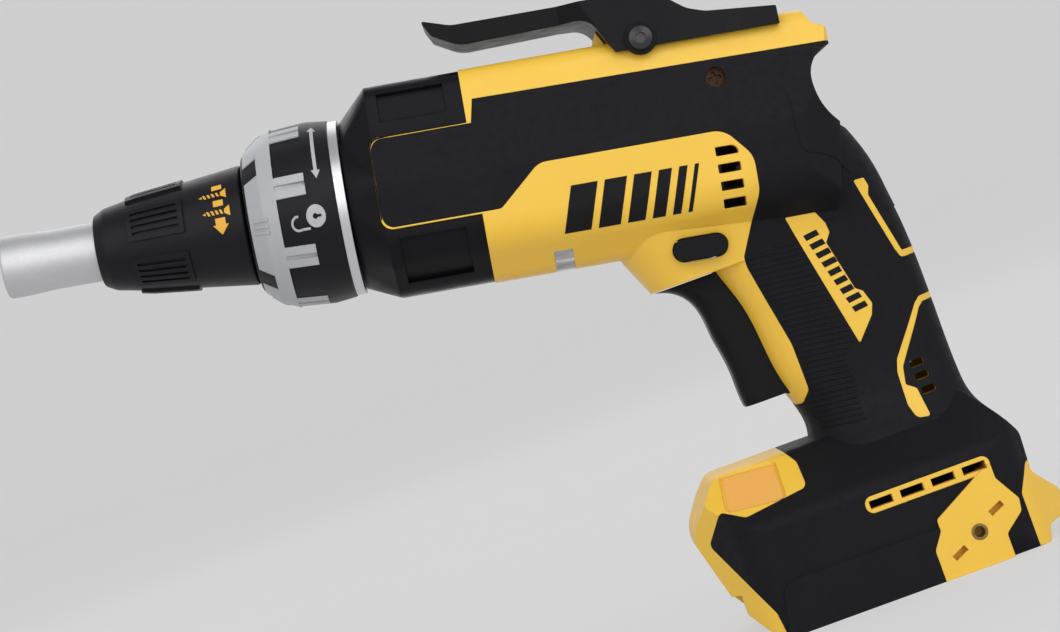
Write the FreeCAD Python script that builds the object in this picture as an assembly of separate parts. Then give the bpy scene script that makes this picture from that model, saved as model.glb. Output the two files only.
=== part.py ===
import FreeCAD, Part
import math
import os

V = FreeCAD.Vector

# Cordless drywall screwdriver without its battery, in mm.
# Nose +X, left +Y, up +Z, the foot stands on Z = 0 and the battery mouth is centred on the origin.
# A place ending in _P is measured along the spindle axis, forward of the rear edge of the lock ring.
# Tables of shares hold fractions of the sizes that they follow, with a corner radius share last.

# Frame and fits
AXIS_X = 123.5
AXIS_Z = 169.0
BARREL_TILT = 10.0
RUNNING_GAP = 0.1
MOVING_GAP = 0.4
SEAT_GAP = 0.02
OVERRUN = 2.0
POINT_GAP = 0.0002
REACH = 400.0

# Barrel of the housing
BARREL_HALF_WIDTH = 31.5
BARREL_RISE = 35.0
BARREL_DROP = 31.0
HOUSING_FRONT_P = -43.0
BARREL_BACK_P = -157.5
BARREL_BACK_ROUND = 16.0
SECTION_SHARES = [(0.51, -1.0, 0.3), (1.0, -0.6, 0.42), (1.0, 0.12, 0.6), (0.68, 1.0, 0.2)]
BARREL_SIDE_SHARES = [
    (0.94, 1.0, 0.1), (0.963, 0.86, 0.06), (0.99, 0.81, 0.06), (0.99, 0.1, 0.3), (0.95, -1.0, 0.3),
]
SADDLE_P = -166.3
SADDLE_RISE = 13.0
SADDLE_RADIUS = 18.0
SADDLE_TOP_RADIUS = 10.2
RUBBER = 1.6
WALL = 2.4

# Handle and chin: height share from base to chin, front and back share of depth, half-width share
HANDLE_X = -14.2
HANDLE_DEPTH = 50.5
HANDLE_HALF_WIDTH = 18.5
HANDLE_BASE_Z = 36.0
CHIN_Z = 111.0
HANDLE_ROUND_SHARE = 0.72
HANDLE_SHARES = [
    (0.0, 0.62, 0.661, 1.46),
    (0.107, 0.56, 0.562, 1.378),
    (0.187, 0.507, 0.51, 1.232),
    (0.253, 0.485, 0.497, 1.114),
    (0.333, 0.5, 0.493, 1.022),
    (0.48, 0.565, 0.492, 0.984),
    (0.72, 0.61, 0.492, 1.0),
    (0.947, 0.692, 0.477, 1.043),
    (1.08, 0.73, 0.445, 1.08),
]
CHIN_SHARES = [
    (1.0, 1.113, 0.475, 1.054),
    (1.093, 1.172, 0.457, 1.124),
    (1.2, 1.232, 0.432, 1.243),
    (1.347, 1.27, 0.362, 1.432),
    (1.52, 1.27, 0.273, 1.568),
]

# Foot with the battery channel
FOOT_FRONT = 57.5
FOOT_BACK = 54.6
FOOT_HALF_WIDTH = 38.0
FOOT_HEIGHT = 51.6
FOOT_FRONT_SHARES = [(0.73, 0.0, 0.04), (0.877, 0.233, 0.3), (0.99, 0.7, 0.2), (0.78, 1.0, 0.1)]
FOOT_BACK_SHARES = [
    (0.65, 1.0, 0.0), (0.76, 0.84, 0.1), (0.862, 0.66, 0.1), (0.848, 0.42, 0.05),
    (1.0, 0.235, 0.06), (0.97, 0.105, 0.03), (0.85, 0.09, 0.02), (0.82, 0.0, 0.02),
]
FOOT_PLAN_SHARES = [(1.0, 0.4, 0.3), (0.73, 1.0, 0.3), (-0.75, 1.0, 0.3), (-1.0, 0.52, 0.3)]
FOOT_SECTION_SHARES = [(0.96, 0.0, 0.04), (1.0, 0.106, 0.06), (1.0, 0.677, 0.16), (0.47, 1.0, 0.16)]
FOOT_PANEL_PROUD = 1.0
FOOT_PANEL_SHARES = [(0.69, 0.0, 0.0), (0.628, 0.31, 0.08), (-0.245, 0.305, 0.0), (-0.245, 0.0, 0.0)]
CHANNEL_WALL = 10.0
CHANNEL_HALF_WIDTH = FOOT_HALF_WIDTH - CHANNEL_WALL
CHANNEL_TOP = 16.0
RAIL_WIDTH = 4.0
MOUTH_HALF_WIDTH = CHANNEL_HALF_WIDTH - RAIL_WIDTH
RAIL_HEIGHT = 4.0
CHANNEL_BACK = 30.0
CHANNEL_FLOOR = 3.0
PATCH_DEPTH = 0.8
PATCH_SHARES = [(0.43, 0.5, 0.05), (0.74, 0.44, 0.05), (0.78, 0.8, 0.05), (0.45, 0.86, 0.05)]

# Where the yellow shell shows through the soft grip
STRIP_RISE = 25.0
STRIP_BACK_RISE = 23.8
STRIP_LEG = 2.8
STRIP_LEG_FOOT = 1.3
PLATE_CORNER_P = -49.0
PLATE_ROUND = 2.5
PLATE_SHARES = [
    (0.396, 0.065, 0.2), (0.756, 0.068, 0.25), (0.805, -0.226, 0.25), (0.805, -0.58, 0.3),
    (0.757, -1.2, 0.1), (0.757, -1.5, 0.0), (0.20, -1.5, 0.0),
]
TRIGGER_STRIP_SHARES = [
    (1.5, -0.106, 0.0), (1.5, 1.12, 0.0), (0.519, 1.12, 0.0), (0.529, 0.965, 0.3),
    (0.43, 0.33, 0.3), (0.424, -0.024, 0.06), (0.479, -0.106, 0.03),
]
BADGE_SHARES = [
    (0.214, 1.107, 0.005), (0.03, 1.087, 0.01), (-0.008, 1.033, 0.02), (-0.014, 0.991, 0.01),
    (0.026, 0.955, 0.01), (-0.045, 0.74, 0.01), (-0.085, 0.719, 0.01), (-0.113, 0.659, 0.02),
    (-0.087, 0.615, 0.01), (0.04, 0.521, 0.005),
]
UPPER_STRIPE_SHARES = [
    (-0.252, 1.156, 0.008), (-0.322, 1.153, 0.008), (-0.335, 1.115, 0.01), (-0.313, 1.081, 0.005),
    (-0.398, 0.82, 0.01), (-0.9, 0.818, 0.0), (-0.9, 0.793, 0.0), (-0.378, 0.793, 0.02),
    (-0.357, 0.833, 0.01),
]
LOWER_STRIPE_SHARES = [
    (-0.9, 0.62, 0.0), (-0.4, 0.62, 0.02), (-0.358, 0.599, 0.02), (-0.138, 0.409, 0.04), (-0.113, 0.36, 0.05),
    (-0.098, 0.22, 0.03), (-0.12, 0.16, 0.03), (-0.202, 0.15, 0.01), (-0.188, 0.272, 0.02),
    (-0.133, 0.3, 0.01), (-0.156, 0.372, 0.05), (-0.376, 0.578, 0.02), (-0.412, 0.595, 0.01),
    (-0.9, 0.595, 0.0),
]
FOOT_FACE_SHARES = [
    (0.386, 1.2, 0.0), (0.386, 1.03, 0.0), (0.328, 0.93, 0.04), (0.33, 0.785, 0.04), (0.688, 0.74, 0.05),
    (0.809, 0.814, 0.03), (0.914, 0.635, 0.06), (0.71, 0.16, 0.05), (0.68, -0.1, 0.0),
    (1.4, -0.1, 0.0), (1.4, 1.2, 0.0),
]
BUMPER_SHARES = [
    (1.4, -0.1, 0.0), (1.4, 0.49, 0.0), (0.833, 0.49, 0.04), (0.743, 0.33, 0.04), (0.743, -0.1, 0.0),
]
HOOK_PLATE_BACK = 39.0
HOOK_PLATE_LENGTH = 29.2
HOOK_PLATE_HEIGHT = 29.6
HOOK_PLATE_PROUD = 1.2
HOOK_PLATE_SHARES = [
    (0.99, 0.0, 0.0), (0.99, 0.33, 0.08), (0.87, 0.5, 0.05), (0.87, 0.62, 0.05), (0.16, 1.0, 0.03),
    (0.16, 0.82, 0.08), (0.0, 0.55, 0.06), (0.02, 0.42, 0.06), (0.235, 0.25, 0.05), (0.235, 0.0, 0.0),
]

HOOK_SLOT_SHARES = [(0.257, 0.53), (0.757, 0.226)]
HOOK_SLOT_LENGTH = 4.8
HOOK_SLOT_WIDTH = 1.9
HOOK_SLOT_TILT = 25.0
HOOK_SLOT_DEPTH = 4.0

# Front panels of the housing that lap over the gear case
TONGUE = 2.8
TONGUE_FRONT_P = -12.5
TONGUE_TOP = 18.2
TONGUE_BOTTOM = -10.2
TONGUE_ROUND = 3.5
PANEL_BACK_TOP_P = -43.5
PANEL_BACK_BOTTOM_P = -48.5
PANEL_LINE = 0.5

# Openings in the housing
VENT_P = -119.0
VENT_TOP = -4.1
VENT_PITCH = 5.3
VENT_LENGTH = 6.9
VENT_HEIGHT = 2.8
VENT_ROUND = 0.4
VENT_CORNER = 2.2
VENT_COUNT = 4
BAR_FRONT = 5.0
BAR_BACK = 34.5
BAR_BOTTOM = 26.6
BAR_HEIGHT = 5.2
BAR_ROUND = 2.4
BAR_RIM = 1.35
BAR_BRIDGE = 2.6
BAR_SLOTS = 4
LED_P = -65.3
LED_LENGTH = 5.8
LED_DEPTH = 4.0
LED_RISE = 5.8
LED_HALF_WIDTH = 24.0
LED_BOARD = 1.2
LED_BOARD_HALF_WIDTH = 6.0
HANDLE_VENT_SHARES = [(-0.244, 0.368), (-0.246, 0.313), (-0.256, 0.252)]
HANDLE_VENT_LENGTH = 4.6
HANDLE_VENT_HEIGHT = 2.2
HANDLE_VENT_ROUND = 0.6

# Gear case and snout
CASE_STEP = 0.4
CASE_WALL = 6.5
CASE_SHOULDER_P = -13.5
CASE_FRONT_P = -3.4
CASE_FRONT_RADIUS = 26.0
OCTAGON_SHARE = 0.414
CASE_ROUND_SHARE = 0.9
CASE_WEB_P = -16.0
SPIGOT_LENGTH = 7.0
SPIGOT_WALL = 2.5
CASE_PANEL_BACK_P = -37.5
CASE_PANEL_FRONT_P = -17.0
CASE_PANEL_DEPTH = 1.2
CASE_PANEL_RISE_SHARES = [(0.65, 0.9), (-0.87, -0.43)]
SNOUT_RADIUS = 19.0
SNOUT_STEP_P = 27.0
NECK_RADIUS = 14.5
NECK_FRONT_P = 57.6
TUBE_POCKET_P = 24.0
CLIP_P = 33.5
CLIP_WIDTH = 1.2
CLIP_PROUD = 1.0
CLIP_DEPTH = 0.8
CLIP_GAP_ANGLE = 30.0

# Lock ring
RING_FRONT_P = 28.5
RING_BACK_RADIUS = 27.8
RING_SHARES = [(0.0, 1.0, 0.02), (0.25, 1.03, 0.25), (0.62, 1.0, 0.2), (0.8, 0.92, 0.12), (1.0, 0.755, 0.04)]
RING_SKIN = 1.4
RING_SKIN_PROUD = 0.5
BAND_BACK_P = 18.0
BAND_FRONT_P = 27.6
LUG_COUNT = 8
LUG_PHASE = 17.0
LUG_WIDTH = 7.0
LUG_BACK_P = 8.6
LUG_GROOVE = 1.6
NOTCH_COUNT = 4
NOTCH_WIDTH = 7.0
NOTCH_BACK_P = 23.0
TRIM_LENGTH = 2.9
TRIM_WALL = 2.0
TRIM_RADIUS = 27.4

# Depth collar and nose tube
COLLAR_BACK_P = 29.0
COLLAR_FRONT_P = 77.0
COLLAR_BACK_RADIUS = 19.0
COLLAR_SHARES = [(0.0, 1.0, 0.06), (0.4, 0.875, 0.6), (0.7, 0.79, 0.6), (0.93, 0.68, 0.2), (1.0, 0.585, 0.05)]
PAD_COUNT = 6
PAD_PHASE = -8.0
PAD_ANGLE = 40.0
PAD_BACK_P = 48.0
PAD_FRONT_P = 66.0
PAD_PROUD = 0.9
PAD_ROOT = 1.0
PAD_EDGE = 1.6
PAD_GROOVES = 4
PAD_GROOVE_ANGLE = 3.6
PAD_GROOVE_PITCH = 8.0
TUBE_RADIUS = 9.3
TUBE_TIP_RADIUS = 9.8
TUBE_BORE_RADIUS = 7.4
TUBE_BACK_P = 30.0
TUBE_FLARE_P = 92.0
TUBE_FLARED_P = 101.0
TUBE_TIP_P = 107.0
TUBE_TIP_ROUND = 1.0
TUBE_KEY_WIDTH = 2.4
TUBE_KEY_PROUD = 1.6
TUBE_KEY_BACK_P = 36.0
TUBE_KEY_LENGTH = 14.0
TUBE_TRAVEL = 3.0

# Spindle, clutch and bit
SPINDLE_RADIUS = 4.0
JOURNAL_RADIUS = 3.0
SPINDLE_BACK_P = -36.0
SPINDLE_FRONT_P = 58.0
SPINDLE_TRAVEL = 3.0
FLANGE_BACK_P = -13.0
FLANGE_LENGTH = 3.0
FLANGE_RADIUS = 9.0
CHAMBER_GAP = 1.5
DOG_HEIGHT = 2.2
DOG_INNER_RADIUS = 4.5
DOG_OUTER_RADIUS = 6.3
DOG_COUNT = 3
DOG_ANGLE = 45.0
SPINDLE_BEARING_BACK_P = -5.0
SPINDLE_BEARING_LENGTH = 7.0
SPINDLE_BEARING_RADIUS = 11.0
SEAL_LENGTH = 4.0
SEAL_RADIUS = 9.0
SHAFT_CLEARANCE = 0.6
HOLDER_BACK_P = 44.0
HOLDER_FRONT_P = 97.0
HOLDER_RADIUS = 5.4
HOLDER_ROUND = 0.8
BIT_FLATS = 6.35
BIT_SOCKET_LENGTH = 18.0
BIT_TIP_P = 104.0
BIT_NECK_RADIUS = 2.6
BIT_POINT_RADIUS = 0.9
BIT_CONE = 4.5
BIT_FLUTE = 1.1
BIT_FLUTES = 4
MAGNET_RADIUS = 2.8
MAGNET_LENGTH = 4.0
SPRING_RADIUS = 3.8
SPRING_WIRE_RADIUS = 0.32
SPRING_TURNS = 3

# Reduction gears
MODULE = 0.5
PINION_TEETH = 9
GEAR_TEETH = 25
PRESSURE_ANGLE = 25.0
BACKLASH = 0.09
GEAR_ADDENDUM_SHARE = 0.65
ROOT_CLEARANCE = 0.13
GEAR_BACK_P = -27.0
GEAR_WIDTH = 8.0
WASHER_LENGTH = 2.2
WASHER_RADIUS = 5.0

# Motor
MOTOR_DROP = MODULE * (PINION_TEETH + GEAR_TEETH) / 2
SHAFT_RADIUS = 2.5
SHAFT_BACK_P = -133.0
BEARING_RADIUS = 6.5
BEARING_LENGTH = 5.0
BEARING_RACE = 1.4
BEARING_FACE_SHARE = 0.17
PLATE_BACK_P = -46.0
PLATE_LENGTH = 7.0
BOSS_RADIUS = 5.0
STATOR_RADIUS = 18.0
STATOR_YOKE = 2.6
STATOR_BORE_RADIUS = 11.4
STATOR_BACK_P = -108.0
STATOR_LENGTH = 30.0
TOOTH_COUNT = 6
TOOTH_WIDTH = 5.0
TOOTH_SHOE = 1.2
SHOE_WIDTH = 9.4
COIL_WALL = 1.8
COIL_OVERHANG = 3.0
ROTOR_RADIUS = 11.0
MAGNET_COUNT = 4
MAGNET_WIDTH = 11.0
ROTOR_MAGNET_THICKNESS = 2.4
ROTOR_MAGNET_INSET = 1.6
SENSOR_BOARD_THICKNESS = 1.4
SENSOR_BOARD_RADIUS = 17.0
SENSOR_BOARD_BORE = 6.0
FAN_FRONT_P = -116.0
FAN_DISC = 1.6
FAN_BLADE = 5.0
FAN_RADIUS = 17.0
FAN_HUB_RADIUS = 6.0
BLADE_COUNT = 11
BLADE_THICKNESS = 1.0
BLADE_LEAN = 25.0
REAR_BEARING_BACK_P = -132.0
RIB = 2.4
RIB_SHARES = [0.12, 0.88]
BEARING_SEAT_WALL = 3.0

# Trigger, switch and direction button
TRIGGER_BACK_SHARE = 0.4
TRIGGER_BACK_X = HANDLE_X + TRIGGER_BACK_SHARE * HANDLE_DEPTH
TRIGGER_REACH = 35.0
TRIGGER_BOTTOM_Z = 68.0
TRIGGER_CHEEK = 9.5
TRIGGER_HALF_WIDTH = HANDLE_HALF_WIDTH - TRIGGER_CHEEK
TRIGGER_ROUND = 4.5
TRIGGER_BACK_ROUND = 1.0
# height share, share of the reach
TRIGGER_SHARES = [
    (0.0, 0.59), (0.06, 0.6), (0.28, 0.607), (0.55, 0.655), (0.80, 0.70), (0.91, 0.78), (1.0, 1.0),
]
SWITCH_FRONT_SHARE = 0.2317
SWITCH_FRONT_X = HANDLE_X + SWITCH_FRONT_SHARE * HANDLE_DEPTH
SWITCH_LENGTH = 24.0
SWITCH_CHEEK = 8.5
SWITCH_HALF_WIDTH = HANDLE_HALF_WIDTH - SWITCH_CHEEK
SWITCH_BOTTOM_Z = 73.0
SWITCH_HEIGHT = 32.0
SWITCH_ROUND = 2.0
SWITCH_RIB_SHARES = [0.15, 0.8]
RETURN_SPRING_RISE = 20.0
RETURN_SPRING_RADIUS = 3.0
RETURN_SPRING_WIRE = 0.4
RETURN_SPRING_TURNS = 6
RETURN_SPRING_POCKET = 8.0
POCKET_CLEARANCE = 0.8
BUTTON_P = -106.7
BUTTON_RISE = -31.6
BUTTON_LENGTH = 16.5
BUTTON_HEIGHT = 6.6
BUTTON_WIDTH_SHARE = 0.762
BUTTON_HALF_WIDTH = BUTTON_WIDTH_SHARE * BARREL_HALF_WIDTH

# Belt hook on the top of the barrel
HOOK_BACK_P = -142.0
HOOK_SADDLE_P = -91.0
HOOK_LIFT = 17.0
HOOK_TIP_P = -34.0
HOOK_NECK_P = -76.0
HOOK_HALF_WIDTH = 15.0
HOOK_CAP = 3.0
HOOK_SKIRT = 3.5
HOOK_CAP_RISE = BARREL_RISE - HOOK_SKIRT
HOOK_EDGE = 2.0
HOOK_SHARES = [
    (1.0, -0.25, 0.0), (1.0, 0.13, 0.03), (0.8, 0.25, 0.5), (0.75, 0.36, 0.5), (0.69, 0.66, 0.5),
    (0.55, 0.83, 1.0), (0.085, 0.83, 0.6), (0.0, 1.0, 0.03), (0.025, 0.70, 0.1), (0.1, 0.44, 0.6),
    (0.47, 0.5, 0.4), (0.535, -0.25, 0.0),
]
HOOK_SCREW_P = -99.5
HOOK_SCREW_DEPTH = 0.7
HOOK_SCREW_RISE = BARREL_RISE - HOOK_SCREW_DEPTH
HOOK_BOSS_RADIUS = 5.0
HOOK_SCREW_RADIUS = 2.0
HOOK_SCREW_HEAD_RADIUS = 3.6
HOOK_SCREW_HEAD = 2.0
HOOK_SCREW_LENGTH = 14.0
HOOK_SCREW_SOCKET = 3.0
HOOK_SOCKET_DEPTH = 1.2
HOOK_STOP_RISE = 4.6
HOOK_STOP_LENGTH = 5.4

# Clamshell screws: place on the side view, side of the head (left is 1), seat distance from the middle
SCREW_RADIUS = 1.6
SCREW_HEAD_RADIUS = 3.0
SCREW_HEAD_HEIGHT = 2.4
SCREW_GRIP = 10.0
SCREW_BOSS_RADIUS = 4.4
SCREW_WELL_RADIUS = 3.5
SCREW_RECESS_DEPTH = 1.4
SCREW_RECESS_LENGTH = 3.8
SCREW_RECESS_WIDTH = 1.0
BARREL_SEAT_DEPTH = 11.5
HANDLE_SEAT_DEPTH = 7.5
FOOT_SEAT_DEPTH = 10.0
BARREL_SCREW_SHARES = [(0.761, 0.53, 1), (0.36, -0.6, -1), (0.36, 0.5, -1), (0.88, -0.68, -1)]
HANDLE_SCREW_SHARES = [(-0.36, 0.56, -1), (0.30, 0.30, -1)]
FOOT_SCREW_SHARES = [(-0.70, 0.53, -1), (0.77, 0.55, -1)]

# Electronics and terminals in the foot
MODULE_BACK = 27.0
MODULE_FRONT = 36.0
MODULE_WALL = 16.0
MODULE_HALF_WIDTH = FOOT_HALF_WIDTH - MODULE_WALL
MODULE_HEIGHT = 11.0
MODULE_ROUND = 3.0
BLOCK_LENGTH = 22.0
BLOCK_SIDE_GAP = 6.0
BLOCK_HALF_WIDTH = MOUTH_HALF_WIDTH - BLOCK_SIDE_GAP
BLOCK_BOTTOM_Z = 6.0
BLOCK_ROUND = 1.5
BLADE_TERMINALS = 6
TERMINAL_PITCH = 2 * BLOCK_HALF_WIDTH / BLADE_TERMINALS
TERMINAL_THICKNESS = 0.8
TERMINAL_LENGTH = 15.0
TERMINAL_ROOT = 5.0
TERMINAL_HEIGHT = 5.0
TERMINAL_RISE = 3.0
INSERT_X_SHARE = 0.4966
INSERT_X = INSERT_X_SHARE * HOOK_PLATE_LENGTH - HOOK_PLATE_BACK
INSERT_Z = 10.7
INSERT_RADIUS = 2.5
INSERT_BORE_RADIUS = 1.65
INSERT_LENGTH = 7.0

BARREL_PLACE = FreeCAD.Placement(V(AXIS_X, 0, AXIS_Z), FreeCAD.Rotation(V(0, 1, 0), -BARREL_TILT))


# Helpers
def tilt(shape):
    """Take a shape from the barrel frame to the shared frame."""
    moved = shape.copy()
    moved.Placement = BARREL_PLACE.multiply(moved.Placement)
    return moved


def rounded_wire(corners, place):
    """Closed wire through corners (u, v, radius), each turned by an arc of its radius."""
    edges = []
    turns = []
    for index, (u, v, radius) in enumerate(corners):
        corner = V(u, v, 0)
        before = V(corners[index - 1][0], corners[index - 1][1], 0) - corner
        after = V(corners[(index + 1) % len(corners)][0], corners[(index + 1) % len(corners)][1], 0) - corner
        before.normalize()
        after.normalize()
        half_angle = before.getAngle(after) / 2
        bisector = (before + after).normalize()
        reach = radius / math.tan(half_angle)
        middle = corner + bisector * (radius / math.sin(half_angle) - radius)
        turns.append((corner + before * reach, middle, corner + after * reach, radius))
    for index, (start, middle, end, radius) in enumerate(turns):
        start, middle, end = (place(point.x, point.y) for point in (start, middle, end))
        if radius > 0:
            edges.append(Part.Arc(start, middle, end).toShape())
        following = turns[(index + 1) % len(turns)][0]
        edges.append(Part.makeLine(end, place(following.x, following.y)))
    return Part.Wire(edges)


def prism_y(corners, half_width):
    """Side outline (x, z, radius) carried across the middle plane."""
    face = Part.Face(rounded_wire(corners, lambda u, v: V(u, -half_width, v)))
    return face.extrude(V(0, 2 * half_width, 0))


def prism_x(corners, start, stop):
    """Cross-section (y, z, radius) carried along X."""
    face = Part.Face(rounded_wire(corners, lambda u, v: V(start, u, v)))
    return face.extrude(V(stop - start, 0, 0))


def prism_z(corners, bottom, top):
    """Plan outline (x, y, radius) carried up."""
    face = Part.Face(rounded_wire(corners, lambda u, v: V(u, v, bottom)))
    return face.extrude(V(0, 0, top - bottom))


def mirrored(half):
    """Add the mirror image of a half outline that starts at the bottom on the left."""
    return half + [(-u, v, radius) for u, v, radius in reversed(half)]


def box(x_range, y_range, z_range):
    """Block between two places on each axis."""
    lengths = [high - low for low, high in (x_range, y_range, z_range)]
    return Part.makeBox(*lengths, V(x_range[0], y_range[0], z_range[0]))


def rod(radius, start, stop, rise=0):
    """Cylinder along X between two places."""
    return Part.makeCylinder(radius, stop - start, V(start, 0, rise), V(1, 0, 0))


def tube(outer, inner, start, stop, rise=0):
    """Ring along X between two places."""
    return rod(outer, start, stop, rise).cut(rod(inner, start - OVERRUN, stop + OVERRUN, rise))


def cross_rod(x, z, radius, start, stop):
    """Cylinder along Y between two places."""
    return Part.makeCylinder(radius, stop - start, V(x, start, z), V(0, 1, 0))


def turned(profile):
    """Solid of revolution about the spindle axis from corners (p, radius, corner radius)."""
    face = Part.Face(rounded_wire(profile, lambda u, v: V(u, 0, v)))
    return face.revolve(V(0, 0, 0), V(1, 0, 0), 360)


def wedge(radius, angle, start, stop):
    """Sector of a cylinder about the spindle axis, centred on the top."""
    sector = Part.makeCylinder(radius, stop - start, V(start, 0, 0), V(1, 0, 0), angle)
    return spun(sector, -sector_middle(sector))


def sector_middle(sector):
    """Angle about X from the top to the middle of a sector."""
    centre = sector.CenterOfMass
    return math.degrees(math.atan2(-centre.y, centre.z))


def spun(shape, angle, rise=0):
    """Copy turned about the axis along X at the given height."""
    copy = shape.copy()
    copy.rotate(V(0, 0, rise), V(1, 0, 0), angle)
    return copy


def around(shape, count, phase=0, rise=0):
    """Copies spread evenly about the axis along X."""
    return [spun(shape, phase + 360 * index / count, rise) for index in range(count)]


def joined(shapes):
    """One shape from several that touch."""
    return shapes[0].multiFuse(shapes[1:]).removeSplitter()


def hexagon_rod(flats, start, stop):
    """Six-sided bar along X."""
    radius = flats / math.sqrt(3)
    points = [V(start, radius * math.sin(math.radians(60 * k)), radius * math.cos(math.radians(60 * k)))
              for k in range(7)]
    return Part.Face(Part.makePolygon(points)).extrude(V(stop - start, 0, 0))


def arc_between(start, corner, end):
    """Arc from start to end that touches both legs to the corner."""
    middle = (start + end) / 2
    half_chord = (end - start).Length / 2
    leg = (corner - start).Length
    height = (corner - middle).Length
    radius = leg * half_chord / height
    sagitta = radius - math.sqrt(radius ** 2 - half_chord ** 2)
    return Part.Arc(start, middle + (corner - middle) * (sagitta / height), end).toShape()


def helix_path(radius, rise, turns):
    """Helix about Z as pairs of touching arcs, each pair half a turn."""
    slope = rise / turns / (2 * math.pi * radius)
    edges = []
    for half_turn in range(2 * turns):
        ends = []
        for angle in (math.pi * half_turn, math.pi * (half_turn + 1)):
            height = rise * angle / (2 * math.pi * turns)
            point = V(radius * math.cos(angle), radius * math.sin(angle), height)
            along = V(-math.sin(angle), math.cos(angle), slope).normalize()
            ends.append((point, along))
        (start, leaving), (end, arriving) = ends
        chord = end - start
        bend = 2 * (leaving.dot(arriving) - 1)
        lean = chord.dot(leaving + arriving)
        reach = (lean - math.sqrt(lean ** 2 - bend * chord.dot(chord))) / bend
        first = start + leaving * reach
        second = end - arriving * reach
        joint = (first + second) / 2
        edges += [arc_between(start, first, joint), arc_between(joint, second, end)]
    return Part.Wire(edges)


def coil_spring(radius, wire_radius, length, turns):
    """Open coil along Z from zero to the length, with its wire inside those planes."""
    path = helix_path(radius, length - 2 * wire_radius, turns)
    circle = Part.Wire(Part.makeCircle(wire_radius, V(radius, 0, 0), V(0, 1, 0)))
    coil = path.makePipeShell([circle], True, False)
    coil.translate(V(0, 0, wire_radius))
    return coil


def gear_face(teeth, pitch_radius, tip_radius, root_radius, phase):
    """Toothed outline in the YZ plane, each flank an arc through three points of its involute."""
    pressure = math.radians(PRESSURE_ANGLE)
    base_radius = pitch_radius * math.cos(pressure)
    half_tooth = math.pi / 2 / teeth - BACKLASH / 2 / pitch_radius

    def half_angle(radius):
        slope = math.acos(min(1, base_radius / radius))
        return half_tooth + math.tan(pressure) - pressure - math.tan(slope) + slope

    def point(radius, angle):
        return V(0, radius * math.sin(angle), radius * math.cos(angle))

    foot_radius = max(base_radius, root_radius)
    middle_radius = (foot_radius + tip_radius) / 2
    edges = []
    for tooth in range(teeth):
        centre = math.radians(phase) + 2 * math.pi * tooth / teeth
        following = centre + 2 * math.pi / teeth
        radii = (foot_radius, middle_radius, tip_radius)
        rising = [point(radius, centre - half_angle(radius)) for radius in radii]
        falling = [point(radius, centre + half_angle(radius)) for radius in reversed(radii)]
        root = [point(root_radius, centre + half_angle(foot_radius)),
                point(root_radius, following - half_angle(foot_radius)),
                point(foot_radius, following - half_angle(foot_radius))]
        edges.append(Part.Arc(*rising).toShape())
        edges.append(Part.makeLine(rising[2], falling[0]))
        edges.append(Part.Arc(*falling).toShape())
        stops = [falling[2]] + root
        for start, stop in zip(stops, stops[1:]):
            if start.distanceToPoint(stop) > POINT_GAP:
                edges.append(Part.makeLine(start, stop))
    return Part.Face(Part.Wire(edges))


# Housing forms
def section_corners(inset):
    """Barrel cross-section, drawn in by the inset."""
    half = []
    for across, up, radius in SECTION_SHARES:
        height = BARREL_RISE if up > 0 else BARREL_DROP
        width = BARREL_HALF_WIDTH - inset
        half.append((across * width, up * (height - inset), radius * width))
    return mirrored(half)


def flank_half_width(rise, inset):
    """Half-width of the barrel section at a height on its upper flank."""
    low, high = section_corners(inset)[2:4]
    share = (rise - low[1]) / (high[1] - low[1])
    return low[0] + share * (high[0] - low[0])


def barrel(inset):
    """Barrel of the housing in the barrel frame, open to the front where it is drawn in."""
    back = BARREL_BACK_P + inset
    section = prism_x(section_corners(inset), back, HOUSING_FRONT_P)
    side = [(HOUSING_FRONT_P, -REACH, 0), (HOUSING_FRONT_P, BARREL_RISE - inset + OVERRUN, 0)]
    for along, up, radius in BARREL_SIDE_SHARES:
        height = BARREL_RISE if up > 0 else BARREL_DROP
        lift = OVERRUN if up == 1 else 0
        side.append((along * back, up * (height - inset) + lift, radius * height))
    side.append((side[-1][0], -REACH, 0))
    half = BARREL_HALF_WIDTH - inset
    plan = [(HOUSING_FRONT_P, -half, 0), (HOUSING_FRONT_P, half, 0)]
    plan += [(back, half, BARREL_BACK_ROUND), (back, -half, BARREL_BACK_ROUND)]
    return section.common(prism_y(side, BARREL_HALF_WIDTH)).common(prism_z(plan, -REACH, REACH))


def handle_wire(row, inset):
    """Rounded level section of the handle."""
    up, front, back, across = row
    z = HANDLE_BASE_Z + up * (CHIN_Z - HANDLE_BASE_Z)
    x_front = HANDLE_X + front * HANDLE_DEPTH - inset
    x_back = HANDLE_X - back * HANDLE_DEPTH + inset
    half = across * HANDLE_HALF_WIDTH - inset
    turn = HANDLE_ROUND_SHARE * half
    corners = [(x_front, -half, turn), (x_front, half, turn), (x_back, half, turn), (x_back, -half, turn)]
    return rounded_wire(corners, lambda u, v: V(u, v, z))


def handle(inset):
    """Handle and chin, lofted through level sections."""
    grip = Part.makeLoft([handle_wire(row, inset) for row in HANDLE_SHARES], True)
    chin = Part.makeLoft([handle_wire(row, inset) for row in CHIN_SHARES], True)
    if inset > 0:
        chin = chin.cut(box((-REACH, REACH), (-REACH, REACH), (0, CHIN_Z + inset)))
    return grip.fuse(chin)


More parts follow.
